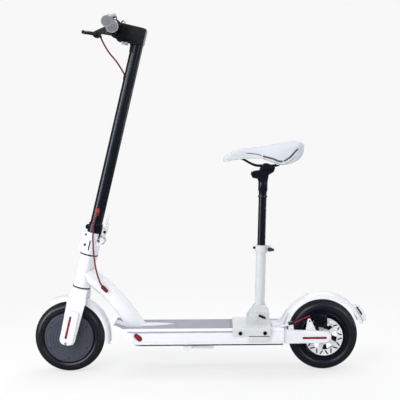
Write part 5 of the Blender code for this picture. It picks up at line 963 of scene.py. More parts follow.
@dataclass
class RearWheel(SubAssembly):
    """The rear tyre, the cast wheel and the slotted brake disc."""

    rim_half: float = 0.020
    hub_half: float = 0.029
    web_half: float = 0.0045
    windows: int = 6
    rotor_radius: float = 0.060
    rotor_y: float = -0.0375
    arms: int = 5
    slots: int = 20
    slot_low: float = 0.0440
    slot_high: float = 0.0572
    bolt_circle: float = 0.0195

    def build(self) -> None:
        """Builds the rear wheel."""
        self.shop.fit(Tyre().make("rear_tyre_tread", REAR_AXLE), "rear_wheel", Look.TYRE, "rear_tyre")
        self.rim()
        self.rotor()
        self.shop.repaint("rear_axle", Look.ZINC)

    def rim(self) -> None:
        """Builds the cast wheel with its six windows."""
        side = [(0.0063, self.hub_half), (0.0190, self.hub_half), (0.0200, self.hub_half - 0.001),
                (0.0208, 0.010), (0.0235, self.web_half + 0.0008), (0.0270, self.web_half),
                (0.0600, self.web_half), (0.0618, self.web_half + 0.0010), (0.0655, 0.0150), (0.0668, 0.0188),
                (0.0680, self.rim_half), (0.0702, self.rim_half), (0.0706, self.rim_half - 0.0008),
                (0.0752, self.rim_half - 0.0008), (0.0756, self.rim_half), (0.0800, self.rim_half),
                (0.0810, self.rim_half - 0.0008), (0.0806, self.rim_half - 0.0022), (0.0780, 0.0168)]
        where = Matrix.Translation(REAR_AXLE) @ SIDE
        rim = lathe("cast_wheel", both_sides(side), where, 96, closed=True)
        span = 180 / self.windows * 0.72
        window = rounded([(x, y, 0.005) for x, y in arc(0.054, -span, span, 1)]
                         + [(x, y, 0.004) for x, y in arc(0.031, span * 0.8, -span * 0.8, 1)], 4)
        tools = []
        for index in range(self.windows):
            turn = Matrix.Rotation(2 * math.pi * (index + 0.117) / self.windows, 4, "Z")
            tools.append(slab(f"window_tool_{index}", window, 0.04, where @ turn))
        self.shop.fit(soften(carve(rim, *tools), 0.0006, 40), "rear_wheel", Look.BLACK_COAT, "rear_rim")
        stem = lathe("valve_stem", [(0.0, 0.021), (0.0024, 0.021), (0.0026, 0.020), (0.0026, 0.012),
                                    (0.0034, 0.011), (0.0036, 0.0), (0.0, 0.0)],
                     pointing(REAR_AXLE + Vector((0.0661, 0, 0)), (-0.86, 0.5, 0)), 20)
        self.shop.fit(stem, "rear_wheel", Look.BLACK_ABS)

    def rotor(self) -> None:
        """Builds the brake disc: a slotted ring on its arms, and its bolts."""
        gap = 180 / self.arms
        holes = [arc(0.0145, 0, 345, 23)]
        for index in range(self.arms):
            middle = 2 * gap * index
            reach = gap - 9.2
            corners = arc(0.041, middle - reach, middle + reach, 8)
            corners += arc(0.024, middle + reach * 0.72, middle - reach * 0.72, 5)
            holes.append(corners)
        for index in range(self.slots):
            angle = 2 * math.pi * (index + 0.5) / self.slots
            slant = 0.07 if index % 2 else -0.07
            low = Vector((math.cos(angle - slant), math.sin(angle - slant))) * self.slot_low
            high = Vector((math.cos(angle + slant), math.sin(angle + slant))) * self.slot_high
            across = (high - low).normalized().orthogonal() * 0.0021
            holes.append([tuple(low - across), tuple(low + across), tuple(high + across),
                          tuple(high - across)])
        where = Matrix.Translation((REAR_AXLE.x, self.rotor_y, REAR_AXLE.z)) @ SIDE
        disc = slab("brake_disc", arc(self.rotor_radius, 0, 356.25, 95), 0.002, where, holes, edge=0.0002)
        self.shop.fit(disc, "rear_wheel", Look.ROTOR, "brake_rotor")
        for index in range(self.arms):
            angle = math.radians(gap + 2 * gap * index)
            spot = (REAR_AXLE.x + self.bolt_circle * math.cos(angle), self.rotor_y - 0.001,
                    REAR_AXLE.z + self.bolt_circle * math.sin(angle))
            self.shop.screw(f"disc_bolt_{index}", "rear_wheel", spot, (0, -1, 0), 0.0030, 0.0016,
                            drive=Drive.STAR)
        carrier = lathe("disc_carrier", [(0.0145, 0.0), (0.0235, 0.0), (0.0235, 0.0075), (0.0145, 0.0075)],
                        pointing((REAR_AXLE.x, self.rotor_y + 0.001, REAR_AXLE.z), (0, 1, 0)), 48,
                        closed=True)
        self.shop.fit(carrier, "rear_wheel", Look.BLACK_COAT)


def fender_sheet(name: str, axle: Vector, inner: float, start: float, end: float, lip: float = 0.013,
                 half: float = 0.031, sheet: float = 0.0025) -> Piece:
    """A rolled fender: an arch in section, swept round the wheel, with rounded ends.

    Args:
        name: the piece's name.
        axle: the wheel's middle.
        inner: the inner radius.
        start: where it begins, in degrees from the rear horizontal.
        end: where it ends.
        lip: how deep its side lips reach.
        half: half of its width.
        sheet: its thickness.

    Returns:
        The fender.
    """
    rim, corner = inner + sheet, 0.012
    flat = half - corner
    turn = (rim - corner, flat)
    out = [(rim - lip, half), *arc(corner, 90, 0, 10, turn), (rim, flat * 0.5)]
    into = [(rim - lip, half - sheet), *arc(corner - sheet, 90, 0, 10, turn), (inner, flat * 0.5)]
    section = both_sides(out) + list(reversed(both_sides(into)))
    steps = round((end - start) / 2.5)
    shape = bmesh.new()
    rings = []
    for index in range(steps + 1):
        angle = math.radians(start + (end - start) * index / steps)
        close = min(index, steps - index)
        pull = 1.0 if close > 2 else (0.86, 0.95, 0.985)[close]
        ring = []
        for radius, z in section:
            drop = (1 - pull) * 0.03 if abs(z) > flat else 0.0
            ring.append(shape.verts.new(((radius + drop) * math.cos(angle), (radius + drop) * math.sin(angle),
                                         z)))
        rings.append(ring)
    count = len(section)
    for first, second in zip(rings, rings[1:]):
        for i in range(count):
            j = (i + 1) % count
            shape.faces.new((first[i], first[j], second[j], second[i]))
    shape.faces.new(rings[0])
    shape.faces.new(rings[-1])
    return from_shape(name, shape, Matrix.Translation(axle) @ SIDE, 40)


# Fork and fold
@dataclass
class ForkEnd(SubAssembly):
    """The fork, its covers and reflectors, and the front fender."""

    face: float = 0.0603
    reflector_u: float = -0.0055
    reflector_low: float = 0.004
    reflector_high: float = 0.076

    def build(self) -> None:
        """Builds the fork's pieces."""
        self.shop.refine("fork", "steering", Look.WHITE_COAT, edge=0.0028, segments=3)
        for side, label in ((-1, "left"), (1, "right")):
            self.cover(side, label)
        fender = fender_sheet("front_fender_sheet", FRONT_AXLE, 0.127, -9.5, 118)
        self.shop.fit(fender, "steering", Look.WHITE_ABS, "front_fender")
        nut = [(0.0, 0.0590), (0.0060, 0.0590), (0.0095, 0.0585), (0.0095, 0.0543), (0.0060, 0.0543),
               (0.0060, 0.0412), (0.0100, 0.0412), (0.0100, 0.0285), (0.0060, 0.0285)]
        axle = lathe("front_axle_rod", both_sides(nut), Matrix.Translation(FRONT_AXLE) @ SIDE, 24)
        self.shop.fit(axle, "steering", Look.ZINC, "front_axle")

    def cover(self, side: int, label: str) -> None:
        """Builds one fork cover with its reflector and screw."""
        low, high, wide = -0.015, 0.093, 0.023
        outline = rounded([(-wide - 0.002, high, 0.007), (-wide, low, 0.016), (wide - 0.004, low, 0.016),
                           (wide - 0.006, high, 0.007)], 7)
        middle = side * (self.face - 0.003)
        where = side_view(middle, STEERING)
        length = self.reflector_high - self.reflector_low
        centre = (self.reflector_u, (self.reflector_high + self.reflector_low) / 2)
        bed = slab("bed_tool", oblong(0.0068, length + 0.0004, 0.0032, centre), 0.0024,
                   side_view(side * self.face, STEERING))
        shell = carve(slab(f"fork_cover_{label}_form", outline, 0.006, where), bed)
        self.shop.fit(soften(shell, 0.0012, segments=3), "steering", Look.WHITE_ABS, f"fork_cover_{label}")
        red = slab(f"fork_reflector_{label}", oblong(0.0062, length, 0.0030, centre), 0.0018,
                   side_view(side * (self.face - 0.0002), STEERING), edge=0.0006)
        self.shop.fit(red, "steering", Look.REFLECTOR)
        spot = (-0.0022, side * (self.face - 0.0004), -0.0105)
        self.shop.screw(f"cover_screw_{label}", "steering", spot, (0, side, 0), 0.0036, 0.0012, base=STEERING)
        for end, s in (("low", self.reflector_low + 0.0030), ("high", self.reflector_high - 0.0030)):
            at = (self.reflector_u, side * (self.face + 0.0004), s)
            cap = stud(f"fork_reflector_{label}_{end}", pointing(at, (0, side, 0), STEERING))
            self.shop.fit(cap, "steering", Look.SMOKED)


@dataclass
class FoldJoint(SubAssembly):
    """The clamp on the steerer, the stem's black foot, the lever and the headset rings."""

    pad_face: float = -0.0150
    slot_u: float = -0.0027
    slot_s: float = 0.3017
    base_face: float = -0.0274
    ear_face: float = -0.0215
    yoke_start: float = 0.0245

    def build(self) -> None:
        """Builds the folding joint."""
        opening = oblong(0.0040, 0.033, 0.0018, (self.slot_u, self.slot_s))
        slot = slab("slot_tool", opening, 0.008, side_view(self.base_face, STEERING))
        self.shop.refine("fold_base", "steering", Look.WHITE_COAT, edge=0.0010, tools=[slot])
        # Painted shade: a black strip inside the clamp's slit stands for the shade in it
        dark = slab("clamp_slot_shade", opening, 0.0040, side_view(self.base_face + 0.0030, STEERING))
        self.shop.fit(dark, "steering", Look.BLACK_ABS)
        shim = slab("clamp_shim", [(-0.0192, 0.2730), (-0.0168, 0.2730), (-0.0168, 0.3055),
                                   (-0.0192, 0.3055)], 0.0156,
                    side_view(self.pad_face + 0.0023, STEERING), edge=0.0)
        self.shop.fit(shim, "steering", Look.WHITE_COAT)
        for name, spot, radius in (("clamp_bolt_0", (-0.0213, -0.0186, 0.3317), 0.0034),
                                   ("clamp_bolt_1", (-0.0172, -0.0224, 0.3001), 0.0042),
                                   ("hinge_lock_bolt", (0.0228, self.ear_face - 0.0020, 0.3207), 0.0040)):
            self.shop.screw(name, "steering", spot, (0, -1, 0), radius, 0.0016, base=STEERING)
        hinge = lathe("hinge_washer", [(0.0112, 0.0), (0.0112, 0.0010), (0.0126, 0.0010), (0.0126, 0.0)],
                      pointing((0.0307, self.ear_face - 0.0002, 0.3252), (0, -1, 0), STEERING), 40,
                      closed=True)
        self.shop.fit(hinge, "steering", Look.CAST)
        lug = slab("hinge_lug", oblong(0.0044, 0.0160, 0.0020, (0.0212, 0.3365)), 0.0050,
                   side_view(self.ear_face, STEERING))
        self.shop.fit(lug, "stem", Look.BLACK_COAT)
        self.foot()
        self.shop.refine("fold_lever", "fold_lever", Look.WHITE_ABS, edge=0.0014)
        for side in (-1, 1):
            knob = lathe(f"lever_knob_{'left' if side < 0 else 'right'}",
                         [(0.0, 0.0030), (0.0038, 0.0030), (0.0047, 0.0020), (0.0047, 0.0), (0.0, 0.0)],
                         pointing((0.034, side * 0.0140, 0.352), (0, side, 0), STEERING), 28)
            self.shop.fit(knob, "stem", Look.BLACK_COAT)
        self.rings()
        self.shop.refine("head_tube", "frame", Look.WHITE_COAT, edge=0.0)

    def foot(self) -> None:
        """Builds the stem's foot in two finishes: the black collar in front and the white yoke behind it."""
        for look, name, low, high in ((Look.BLACK_COAT, "", self.yoke_start, 0.09),
                                      (Look.WHITE_COAT, "stem_foot_yoke", -0.09, self.yoke_start)):
            off = slab("foot_tool", [(low, 0.25), (high, 0.25), (high, 0.42), (low, 0.42)], 0.12,
                       side_view(0, STEERING))
            self.shop.refine("stem_foot", "stem", look, edge=0.0008, tools=[off], name=name)

    def rings(self) -> None:
        """Builds the two headset rings as turned covers with a fine groove."""
        for name, low in (("headset_lower", 0.1614), ("headset_upper", 0.2686)):
            profile = [(0.0146, low), (0.0280, low), (0.0284, low + 0.0004), (0.0284, low + 0.0014),
                       (0.0280, low + 0.0018), (0.0284, low + 0.0022), (0.0284, low + 0.0032),
                       (0.0280, low + 0.0036), (0.0146, low + 0.0036)]
            self.shop.fit(lathe(f"{name}_ring", profile, STEERING, 72, closed=True), "frame", Look.BLACK_COAT,
                          name)


@dataclass
class Stem(SubAssembly):
    """The stem tube."""

    radius: float = 0.0192
    low: float = 0.3461
    high: float = 0.9995

    def build(self) -> None:
        """Builds the tube."""
        profile = [(self.radius - 0.0025, self.high), (self.radius, self.high), (self.radius, self.low),
                   (self.radius - 0.0025, self.low)]
        tube = lathe("stem_tube_form", profile, STEERING, 72, closed=True)
        self.shop.fit(tube, "stem", Look.BLACK_COAT, "stem_tube")


# Bar and controls
@dataclass
class HeadAndBar(SubAssembly):
    """The head on the stem with its panel and lamp, the bar, the grips and the controls."""

    bar_u: float = -0.077
    bar_s: float = 0.9846
    bar_radius: float = 0.0111
    bar_half: float = 0.2120
    grip_radius: float = 0.0173
    grip_length: float = 0.118
    bell_y: float = -0.058
    bell_tilt: float = math.radians(27)
    bell_rise: float = 0.008
    throttle_y: float = 0.083
    head_top: float = 1.0095
    narrow: float = 0.905
    narrow_front: float = -0.0215
    narrow_reach: float = 0.034
    button_u: float = -0.0530
    dots_u: float = -0.0360
    dot_pitch: float = 0.005
    lever_root: Point3 = (-0.1140, -0.0875, 0.9506)
    lever_radius: float = 0.0050

    def build(self) -> None:
        """Builds the head, the bar and everything on them."""
        self.head()
        self.bar()
        for side, label in ((-1, "left"), (1, "right")):
            self.grip(side, label)
        self.brake()
        self.bell()
        self.throttle()

    def along_bar(self, y: float) -> Matrix:
        """A frame on the bar's axis whose local Z points to the rider's left."""
        return STEERING @ Matrix.Translation((self.bar_u, y, self.bar_s)) @ SIDE

    def head(self) -> None:
        """Builds the head's shell, panel, button and lamp."""
        shell = self.shop.refine("head", "stem", Look.BLACK_ABS, edge=0.0030, segments=4)
        back = STEERING.inverted()
        for vertex in shell.data.vertices:
            local = back @ vertex.co
            if local.x > self.narrow_front and math.hypot(local.x, local.y) < self.narrow_reach:
                vertex.co = STEERING @ Vector((local.x * self.narrow, local.y * self.narrow, local.z))
        self.shop.refine("dash_panel", "stem", Look.PANEL, edge=0.0006)
        low = self.head_top - 0.0008
        ring = [(0.0, low + 0.0020), (0.0040, low + 0.0021), (0.0046, low + 0.0022), (0.0060, low + 0.0017),
                (0.0062, low + 0.0012), (0.0062, low), (0.0, low)]
        button = lathe("power_button_cap", ring, STEERING @ Matrix.Translation((self.button_u, 0, 0)), 40)
        self.shop.fit(button, "power_button", Look.CAST, "power_button")
        for index in range(4):
            spot = (self.dots_u, self.dot_pitch * (index - 1.5), self.head_top + 0.0003)
            lamp = lathe(f"charge_dot_{index}", [(0.0, 0.0006), (0.0009, 0.0005), (0.0012, 0.0), (0.0, 0.0)],
                         STEERING @ Matrix.Translation(spot), 16)
            self.shop.fit(lamp, "stem", Look.LENS)
        outline = rounded([(-0.0050, 0.9250, 0.001), (-0.0185, 0.9250, 0.001), (-0.0205, 0.9500, 0.010),
                           (-0.0295, 0.9560, 0.002), (-0.0400, 0.9530, 0.002), (-0.0620, 0.9516, 0.004),
                           (-0.0730, 0.9597, 0.003), (-0.0830, 0.9612, 0.003), (-0.0945, 0.9700, 0.004),
                           (-0.0945, 0.9900, 0.004), (-0.0050, 0.9900, 0.002)], 4)
        middle = side_view(0, STEERING)
        chin = slab("head_chin", outline, 0.0360, middle, edge=0.0030)
        self.shop.fit(chin, "stem", Look.BLACK_ABS)
        lens = slab("headlight_lens", oblong(0.0230, 0.0105, 0.0030, (-0.0405, 0.9518)), 0.0300, middle,
                    edge=0.0025)
        self.shop.fit(lens, "stem", Look.LENS, "headlight")

    def bar(self) -> None:
        """Builds the handlebar tube."""
        inner = self.bar_radius - 0.0022
        profile = [(inner, self.bar_half), (self.bar_radius, self.bar_half),
                   (self.bar_radius, -self.bar_half), (inner, -self.bar_half)]
        self.shop.fit(lathe("handlebar_tube", profile, self.along_bar(0), 48, closed=True), "stem",
                      Look.BLACK_COAT, "handlebar")

    def grip(self, side: int, label: str) -> None:
        """Builds one grip with ribs and its end plug."""
        end = self.bar_half + 0.003
        start = end - self.grip_length
        bore = self.bar_radius + 0.0003
        radius = self.grip_radius
        profile = [(bore, start), (radius + 0.0018, start), (radius + 0.0022, start + 0.0006),
                   (radius + 0.0022, start + 0.0036), (radius + 0.0012, start + 0.0046),
                   (radius - 0.0006, start + 0.0062)]
        ribs = 15
        for index in range(ribs):
            spot = start + 0.0095 + index * 0.0066
            swell = 0.0006 * math.sin(math.pi * index / (ribs - 1))
            profile += [(radius - 0.0008 + swell * 0.5, spot), (radius - 0.0002 + swell, spot + 0.0010),
                        (radius - 0.0002 + swell, spot + 0.0038),
                        (radius - 0.0008 + swell * 0.5, spot + 0.0048)]
        profile += [(radius, end - 0.0050), (radius, end - 0.0012), (radius - 0.0012, end - 0.0002),
                    (radius - 0.0032, end - 0.0002), (radius - 0.0032, end - 0.0016), (bore, end - 0.0016)]
        profile = [(r, z) if side < 0 else (r, -z) for r, z in profile]
        band = [(r + 0.0002, z) for r, z in profile[1:5]]
        band += [(radius - 0.002, profile[4][1]), (radius - 0.002, profile[1][1])]
        collar = lathe(f"grip_{label}_collar", band, self.along_bar(0), 56, closed=True)
        self.shop.fit(collar, "stem", Look.COLLAR)
        rubber = lathe(f"grip_{label}_ribbed", profile, self.along_bar(0), 56, closed=True, crease=28)
        self.shop.fit(rubber, "stem", Look.GRIP, f"grip_{label}")
        disc = [(0.0, -0.0002), (0.0040, -0.0002), (0.0045, -0.0006), (radius - 0.0016, -0.0004),
                (radius - 0.0004, -0.0010), (radius - 0.0002, -0.0030), (0.0, -0.0030)]
        face = pointing((self.bar_u, side * end, self.bar_s), (0, side, 0), STEERING)
        plug = lathe(f"grip_plug_{label}", disc, face, 48)
        # The plug is the grip's own rubber, darker as painted shade on its end face
        self.shop.fit(plug, "stem", Look.PLUG_PAINTED_SHADE)

    def brake(self) -> None:
        """Builds the brake lever and its perch."""
        root = Vector(self.lever_root)
        self.perch(root)
        steps = ((-0.002, -0.002, 0.000), (-0.005, -0.010, 0.000), (-0.011, -0.020, -0.002),
                 (-0.019, -0.038, -0.004),
                 (-0.024, -0.062, -0.007), (-0.0265, -0.088, -0.010), (-0.027, -0.108, -0.011))
        route = smooth_route([tuple(root + Vector(p)) for p in steps], 0.0030)
        count = len(route)
        radii = [1.0 - 0.16 * i / (count - 1) for i in range(count)]
        radii[-1], radii[-2] = 0.70, 0.95
        blade = wire("lever_blade", route, self.lever_radius, STEERING, 20, radii, squeeze=1.2)
        self.shop.fit(blade, "brake_lever", Look.BLACK_ABS, "brake_lever")
        eye = lathe("lever_eye", [(0.0033, 0.0052), (0.0068, 0.0052), (0.0075, 0.0044), (0.0075, -0.0044),
                                  (0.0068, -0.0052), (0.0033, -0.0052)],
                    STEERING @ Matrix.Translation(root), 36, closed=True)
        self.shop.fit(eye, "brake_lever", Look.BLACK_COAT)

    def perch(self, root: Vector) -> None:
        """Builds the perch: its ring on the bar, the body down to the lever's fork and the cable's adjuster.

        Args:
            root: the lever's pivot.
        """
        outline = rounded([(-0.1273, 0.9574, 0.006), (-0.1310, 0.9480, 0.008), (-0.1240, 0.9395, 0.006),
                           (-0.1105, 0.9400, 0.006), (-0.1056, 0.9553, 0.003), (-0.0757, 0.9574, 0.004),
                           (-0.0608, 0.9640, 0.007), (-0.0608, 1.0000, 0.014), (-0.0930, 1.0000, 0.014),
                           (-0.0985, 0.9790, 0.006)])
        middle = side_view(root.y, STEERING)
        gap = slab("lever_gap_tool", [(-0.150, root.z - 0.0054), (-0.1045, root.z - 0.0054),
                                      (-0.1045, root.z + 0.0054), (-0.150, root.z + 0.0054)], 0.03, middle)
        body = carve(slab("brake_perch_body", outline, 0.0160, middle), gap)
        self.shop.fit(soften(body, 0.0016, segments=3), "stem", Look.BLACK_ABS, "brake_perch")
        self.shop.screw("perch_pin", "stem", root + Vector((0, 0, 0.0088)), (0, 0, 1), 0.0034, 0.0014,
                        Look.ZINC, base=STEERING)
        self.shop.screw("perch_bolt", "stem", (-0.0900, root.y - 0.0080, 0.9640), (0, -1, 0), 0.0030, 0.0012,
                        Look.ZINC, base=STEERING)
        start, after = Vector(BrakeCable.on_stem[0]), Vector(BrakeCable.on_stem[1])
        profile = [(0.0026, 0.0), (0.0038, 0.0006), (0.0038, 0.0080), (0.0046, 0.0085), (0.0046, 0.0130),
                   (0.0036, 0.0135), (0.0036, 0.0190), (0.0, 0.0190)]
        barrel = lathe("cable_adjuster", profile, pointing(start, start - after, STEERING), 28)
        self.shop.fit(barrel, "stem", Look.BLACK_STEEL)

    def bell(self) -> None:
        """Builds the bell and its striker lever."""
        clamp = lathe("bell_clamp", [(self.bar_radius + 0.0003, 0.0070), (0.0146, 0.0070), (0.0151, 0.0064),
                                     (0.0151, -0.0064), (0.0146, -0.0070),
                                     (self.bar_radius + 0.0003, -0.0070)],
                      self.along_bar(self.bell_y), 48, closed=True)
        self.shop.fit(clamp, "stem", Look.BLACK_ABS)
        top, radius = 0.0395, 0.0185
        turns = [math.radians(a) for a in range(6, 91, 6)]
        dome = [(0.0, top)] + [(radius * math.sin(a), top - 0.0125 * (1 - math.cos(a))) for a in turns]
        dome += [(radius, 0.0235), (radius - 0.0006, 0.0226), (radius - 0.0020, 0.0226),
                 (radius - 0.0024, 0.0240),
                 (0.0078, 0.0240), (0.0075, 0.0215), (0.0065, 0.0150), (0.0, 0.0150)]
        where = STEERING @ Matrix.Translation((self.bar_u, self.bell_y, self.bar_s)) @ (
            Matrix.Rotation(-self.bell_tilt, 4, "Y") @ Matrix.Translation((0, 0, self.bell_rise)))
        # Dome and neck are chrome, drawn light grey as a painted reflection of the bright surround
        self.shop.fit(lathe("bell_dome", dome, where, 64), "stem", Look.CHROME_PAINTED_REFLECTION, "bell")
        neck = lathe("bell_neck", [(0.0, 0.0235), (0.0074, 0.0235), (0.0070, 0.0130), (0.0076, 0.0020),
                                   (0.0, 0.0020)],
                     where, 40)
        self.shop.fit(neck, "stem", Look.CHROME_PAINTED_REFLECTION)
        self.shop.refine("bell_lever", "bell_lever", Look.BLACK_ABS, edge=0.0006)
        side = self.along_bar(self.bell_y - 0.0200)
        ring = lathe("bell_lever_eye", [(0.0034, 0.0014), (0.0066, 0.0014), (0.0066, -0.0014),
                                        (0.0034, -0.0014)],
                     side @ Matrix.Translation((0.0012, 0.0275, 0)), 32, closed=True)
        self.shop.fit(ring, "bell_lever", Look.BLACK_ABS)
        stalk = slab("bell_lever_stalk", [(0.0040, 0.0225), (0.0070, 0.0265), (0.0200, 0.0200),
                                          (0.0260, 0.0130), (0.0200, 0.0110), (0.0130, 0.0165)], 0.0030, side)
        self.shop.fit(stalk, "bell_lever", Look.BLACK_ABS)
        bridge = slab("bell_lever_bridge", oblong(0.0060, 0.0060, 0.002, (0.0215, 0.0160)), 0.0200,
                      self.along_bar(self.bell_y - 0.0100))
        self.shop.fit(bridge, "bell_lever", Look.BLACK_ABS)

    def throttle(self) -> None:
        """Builds the thumb throttle and the housing beside it."""
        self.shop.refine("throttle", "throttle", Look.BLACK_ABS, edge=0.0008)
        house = lathe("throttle_housing", [(self.bar_radius + 0.0003, 0.0050), (0.0165, 0.0050),
                                           (0.0172, 0.0043), (0.0172, -0.0043), (0.0165, -0.0050),
                                           (self.bar_radius + 0.0003, -0.0050)],
                      self.along_bar(self.throttle_y - 0.0114), 48, closed=True)
        self.shop.fit(house, "stem", Look.BLACK_ABS)


# Frame and deck
@dataclass
class Deck(SubAssembly):
    """The down tube, the deck tray with its mat and cover, and what is inside and under them."""

    bottom: float = 0.0935
    tray_front: float = -0.2050
    tray_rear: float = 0.2610
    port: Point3 = (-0.1930, 0, 0.1220)
    flap_share: float = 0.74

    def build(self) -> None:
        """Builds the deck's pieces."""
        self.shop.refine("down_tube", "frame", Look.WHITE_COAT, edge=0.0)
        self.shop.refine("deck_tray", "frame", Look.WHITE_COAT, edge=0.0008)
        self.shop.refine("deck_mat", "frame", Look.MAT, edge=0.0008)
        along = pointing((0.03, 0, 0), (1, 0, 0))
        wedges = []
        for side in (-1, 1):
            corners = [(side * 0.0710, 0.1001), (side * 0.0710, 0.0920), (side * 0.0450, 0.0920)]
            wedges.append(slab("wedge_tool", corners, 0.60, along, edge=0.0))
        low, high = (slab("level_tool", [(-0.09, z), (0.09, z), (0.09, z + 0.03), (-0.09, z + 0.03)], 0.60,
                          along, edge=0.0)
                     for z in (self.bottom - 0.0303, self.bottom + 0.0001))
        self.shop.refine("bottom_cover", "frame", Look.BLACK_ABS, edge=0.0008, tools=[*wedges, low])
        self.shop.refine("bottom_cover", "frame", Look.WHITE_COAT, edge=0.0006, tools=[high],
                         name="kickstand_bracket")
        flap = self.shop.refine("charge_flap", "charge_flap", Look.WINE_RUBBER, edge=0.0005)
        middle, across = Vector(self.port), Vector((math.sqrt(0.5), 0, math.sqrt(0.5)))
        for vertex in flap.data.vertices:
            vertex.co -= across * across.dot(vertex.co - middle) * (1 - self.flap_share)
        slant = Matrix.Rotation(math.radians(-45), 4, "Z")
        place = Matrix.Translation((middle.x, -0.0762, middle.z)) @ SIDE @ slant
        core = slab("charge_flap_grip", oblong(0.0190, 0.0028, 0.0013), 0.0016, place)
        self.shop.fit(core, "charge_flap", Look.RED_RUBBER)
        for side, label in ((-1, "left"), (1, "right")):
            edge = [(self.tray_front, 0.0990), (self.tray_rear, 0.0990), (self.tray_rear, 0.1030),
                    (self.tray_front, 0.1030)]
            skirt = slab(f"tray_skirt_{label}", edge, 0.0040, side_view(side * 0.0728), edge=0.0006)
            self.shop.fit(skirt, "frame", Look.WHITE_COAT)
            # Painted shade: a grey strip in the deck's side groove stands for the shade in it
            groove = slab(f"side_groove_shade_{label}", oblong(0.3294, 0.0030, 0.0014, (-0.0616, 0.1386)), 0.0010,
                          side_view(side * 0.0746), edge=0.0)
            self.shop.fit(groove, "frame", Look.MAT)
        spear = [(-0.200, -0.022), (-0.150, -0.020), (-0.110, -0.010), (-0.083, 0.0), (-0.110, 0.010),
                 (-0.150, 0.020), (-0.200, 0.022)]
        self.shop.fit(slab("mat_tongue", spear, 0.0014, Matrix.Translation((0, 0, 0.1466))), "frame",
                      Look.WHITE_ABS)
        self.shop.refine("kickstand", "kickstand", Look.WHITE_COAT, edge=0.0006)
        self.shop.repaint("battery_pack", Look.WRAP)
        self.shop.repaint("motor_controller", Look.CAST)
        self.screws()

    def screws(self) -> None:
        """Adds the bottom cover's screws."""
        for index, (x, y) in enumerate((x, y) for x in (-0.185, -0.06, 0.09, 0.24) for y in (-0.049, 0.049)):
            self.shop.screw(f"cover_bolt_{index}", "frame", (x, y, self.bottom + 0.0002), (0, 0, -1), 0.0032,
                            0.0012)


@dataclass
class RearEnd(SubAssembly):
    """The rear arms, covers, caliper and fender."""

    cover_face: float = 0.0678
    reflector_x: float = 0.358
    reflector_z: float = 0.1145
    reflector_reach: float = 0.0348
    caliper_x: float = 0.3785
    caliper_z: float = 0.1635
    caliper_face: float = -0.0477

    def build(self) -> None:
        """Builds the rear end."""
        self.shop.refine("rear_fork", "frame", Look.WHITE_COAT, edge=0.0010)
        centre = (self.reflector_x, self.reflector_z)
        bar = oblong(2 * self.reflector_reach + 0.0060, 0.0062, 0.0030, centre)
        for side, label in ((-1, "left"), (1, "right")):
            self.shop.refine(f"rear_cover_{label}", "frame", Look.WHITE_ABS, edge=0.0012)
            red = slab(f"rear_reflector_{label}", bar, 0.0018, side_view(side * (self.cover_face - 0.0002)),
                       edge=0.0006)
            self.shop.fit(red, "frame", Look.REFLECTOR)
            for end, reach in (("front", -self.reflector_reach), ("back", self.reflector_reach)):
                at = (self.reflector_x + reach, side * (self.cover_face + 0.0006), self.reflector_z)
                cap = stud(f"rear_reflector_{label}_{end}", pointing(at, (0, side, 0)))
                self.shop.fit(cap, "frame", Look.SMOKED)
            seal = slab(f"end_seal_{label}", [(0.2617, 0.0985), (0.2661, 0.0985), (0.2661, 0.1380),
                                              (0.2617, 0.1380)],
                        0.0100, side_view(side * 0.0617), edge=0.0)
            self.shop.fit(seal, "frame", Look.WHITE_ABS)
        self.brake()
        self.fender()

    def brake(self) -> None:
        """Builds the caliper with its bolts, the arm and the bare wire."""
        self.shop.refine("brake_caliper", "frame", Look.BLACK_COAT, edge=0.0014)
        self.shop.refine("caliper_arm", "caliper_arm", Look.BLACK_STEEL, edge=0.0006)
        self.shop.repaint("brake_wire", Look.RED_RUBBER)
        for index, (x, z) in enumerate(((0.0060, 0.0165), (0.0165, 0.0150), (0.0150, -0.0120))):
            spot = (self.caliper_x + x, self.caliper_face, self.caliper_z + z)
            self.shop.screw(f"caliper_bolt_{index}", "frame", spot, (0, -1, 0), 0.0032, 0.0022, Look.ZINC)
        # Painted shade: a flat black disc on the arm's lug stands for the shade in its hole
        hole = lathe("arm_lug_hole_shade", [(0.0, 0.0006), (0.0022, 0.0006), (0.0026, 0.0), (0.0, 0.0)],
                     pointing((0.3446, -0.0562, 0.1648), (0, -1, 0)), 24)
        self.shop.fit(hole, "frame", Look.BLACK_ABS)

    def fender(self) -> None:
        """Builds the rear fender over the model's own foot and catch, and the tail light."""
        self.shop.refine("rear_fender", "frame", Look.WHITE_ABS, edge=0.0006)
        self.shop.refine("tail_light", "frame", Look.WHITE_ABS, edge=0.0012)
        outer = 0.1494
        outline = arc(outer + 0.0004, 23.5, 34.5, 8) + list(reversed(arc(outer - 0.0026, 23.5, 34.5, 8)))
        lens = slab("tail_lens", outline, 0.026, Matrix.Translation(REAR_AXLE) @ SIDE, edge=0.0006)
        self.shop.fit(lens, "frame", Look.SMOKED)
        strip = arc(0.1420, 27.2, 39.4, 8) + list(reversed(arc(0.1372, 27.2, 39.4, 8)))
        seam = slab("tail_light_seam", strip, 0.0352, Matrix.Translation(REAR_AXLE) @ SIDE, edge=0.0)
        self.shop.fit(seam, "frame", Look.BLACK_ABS)


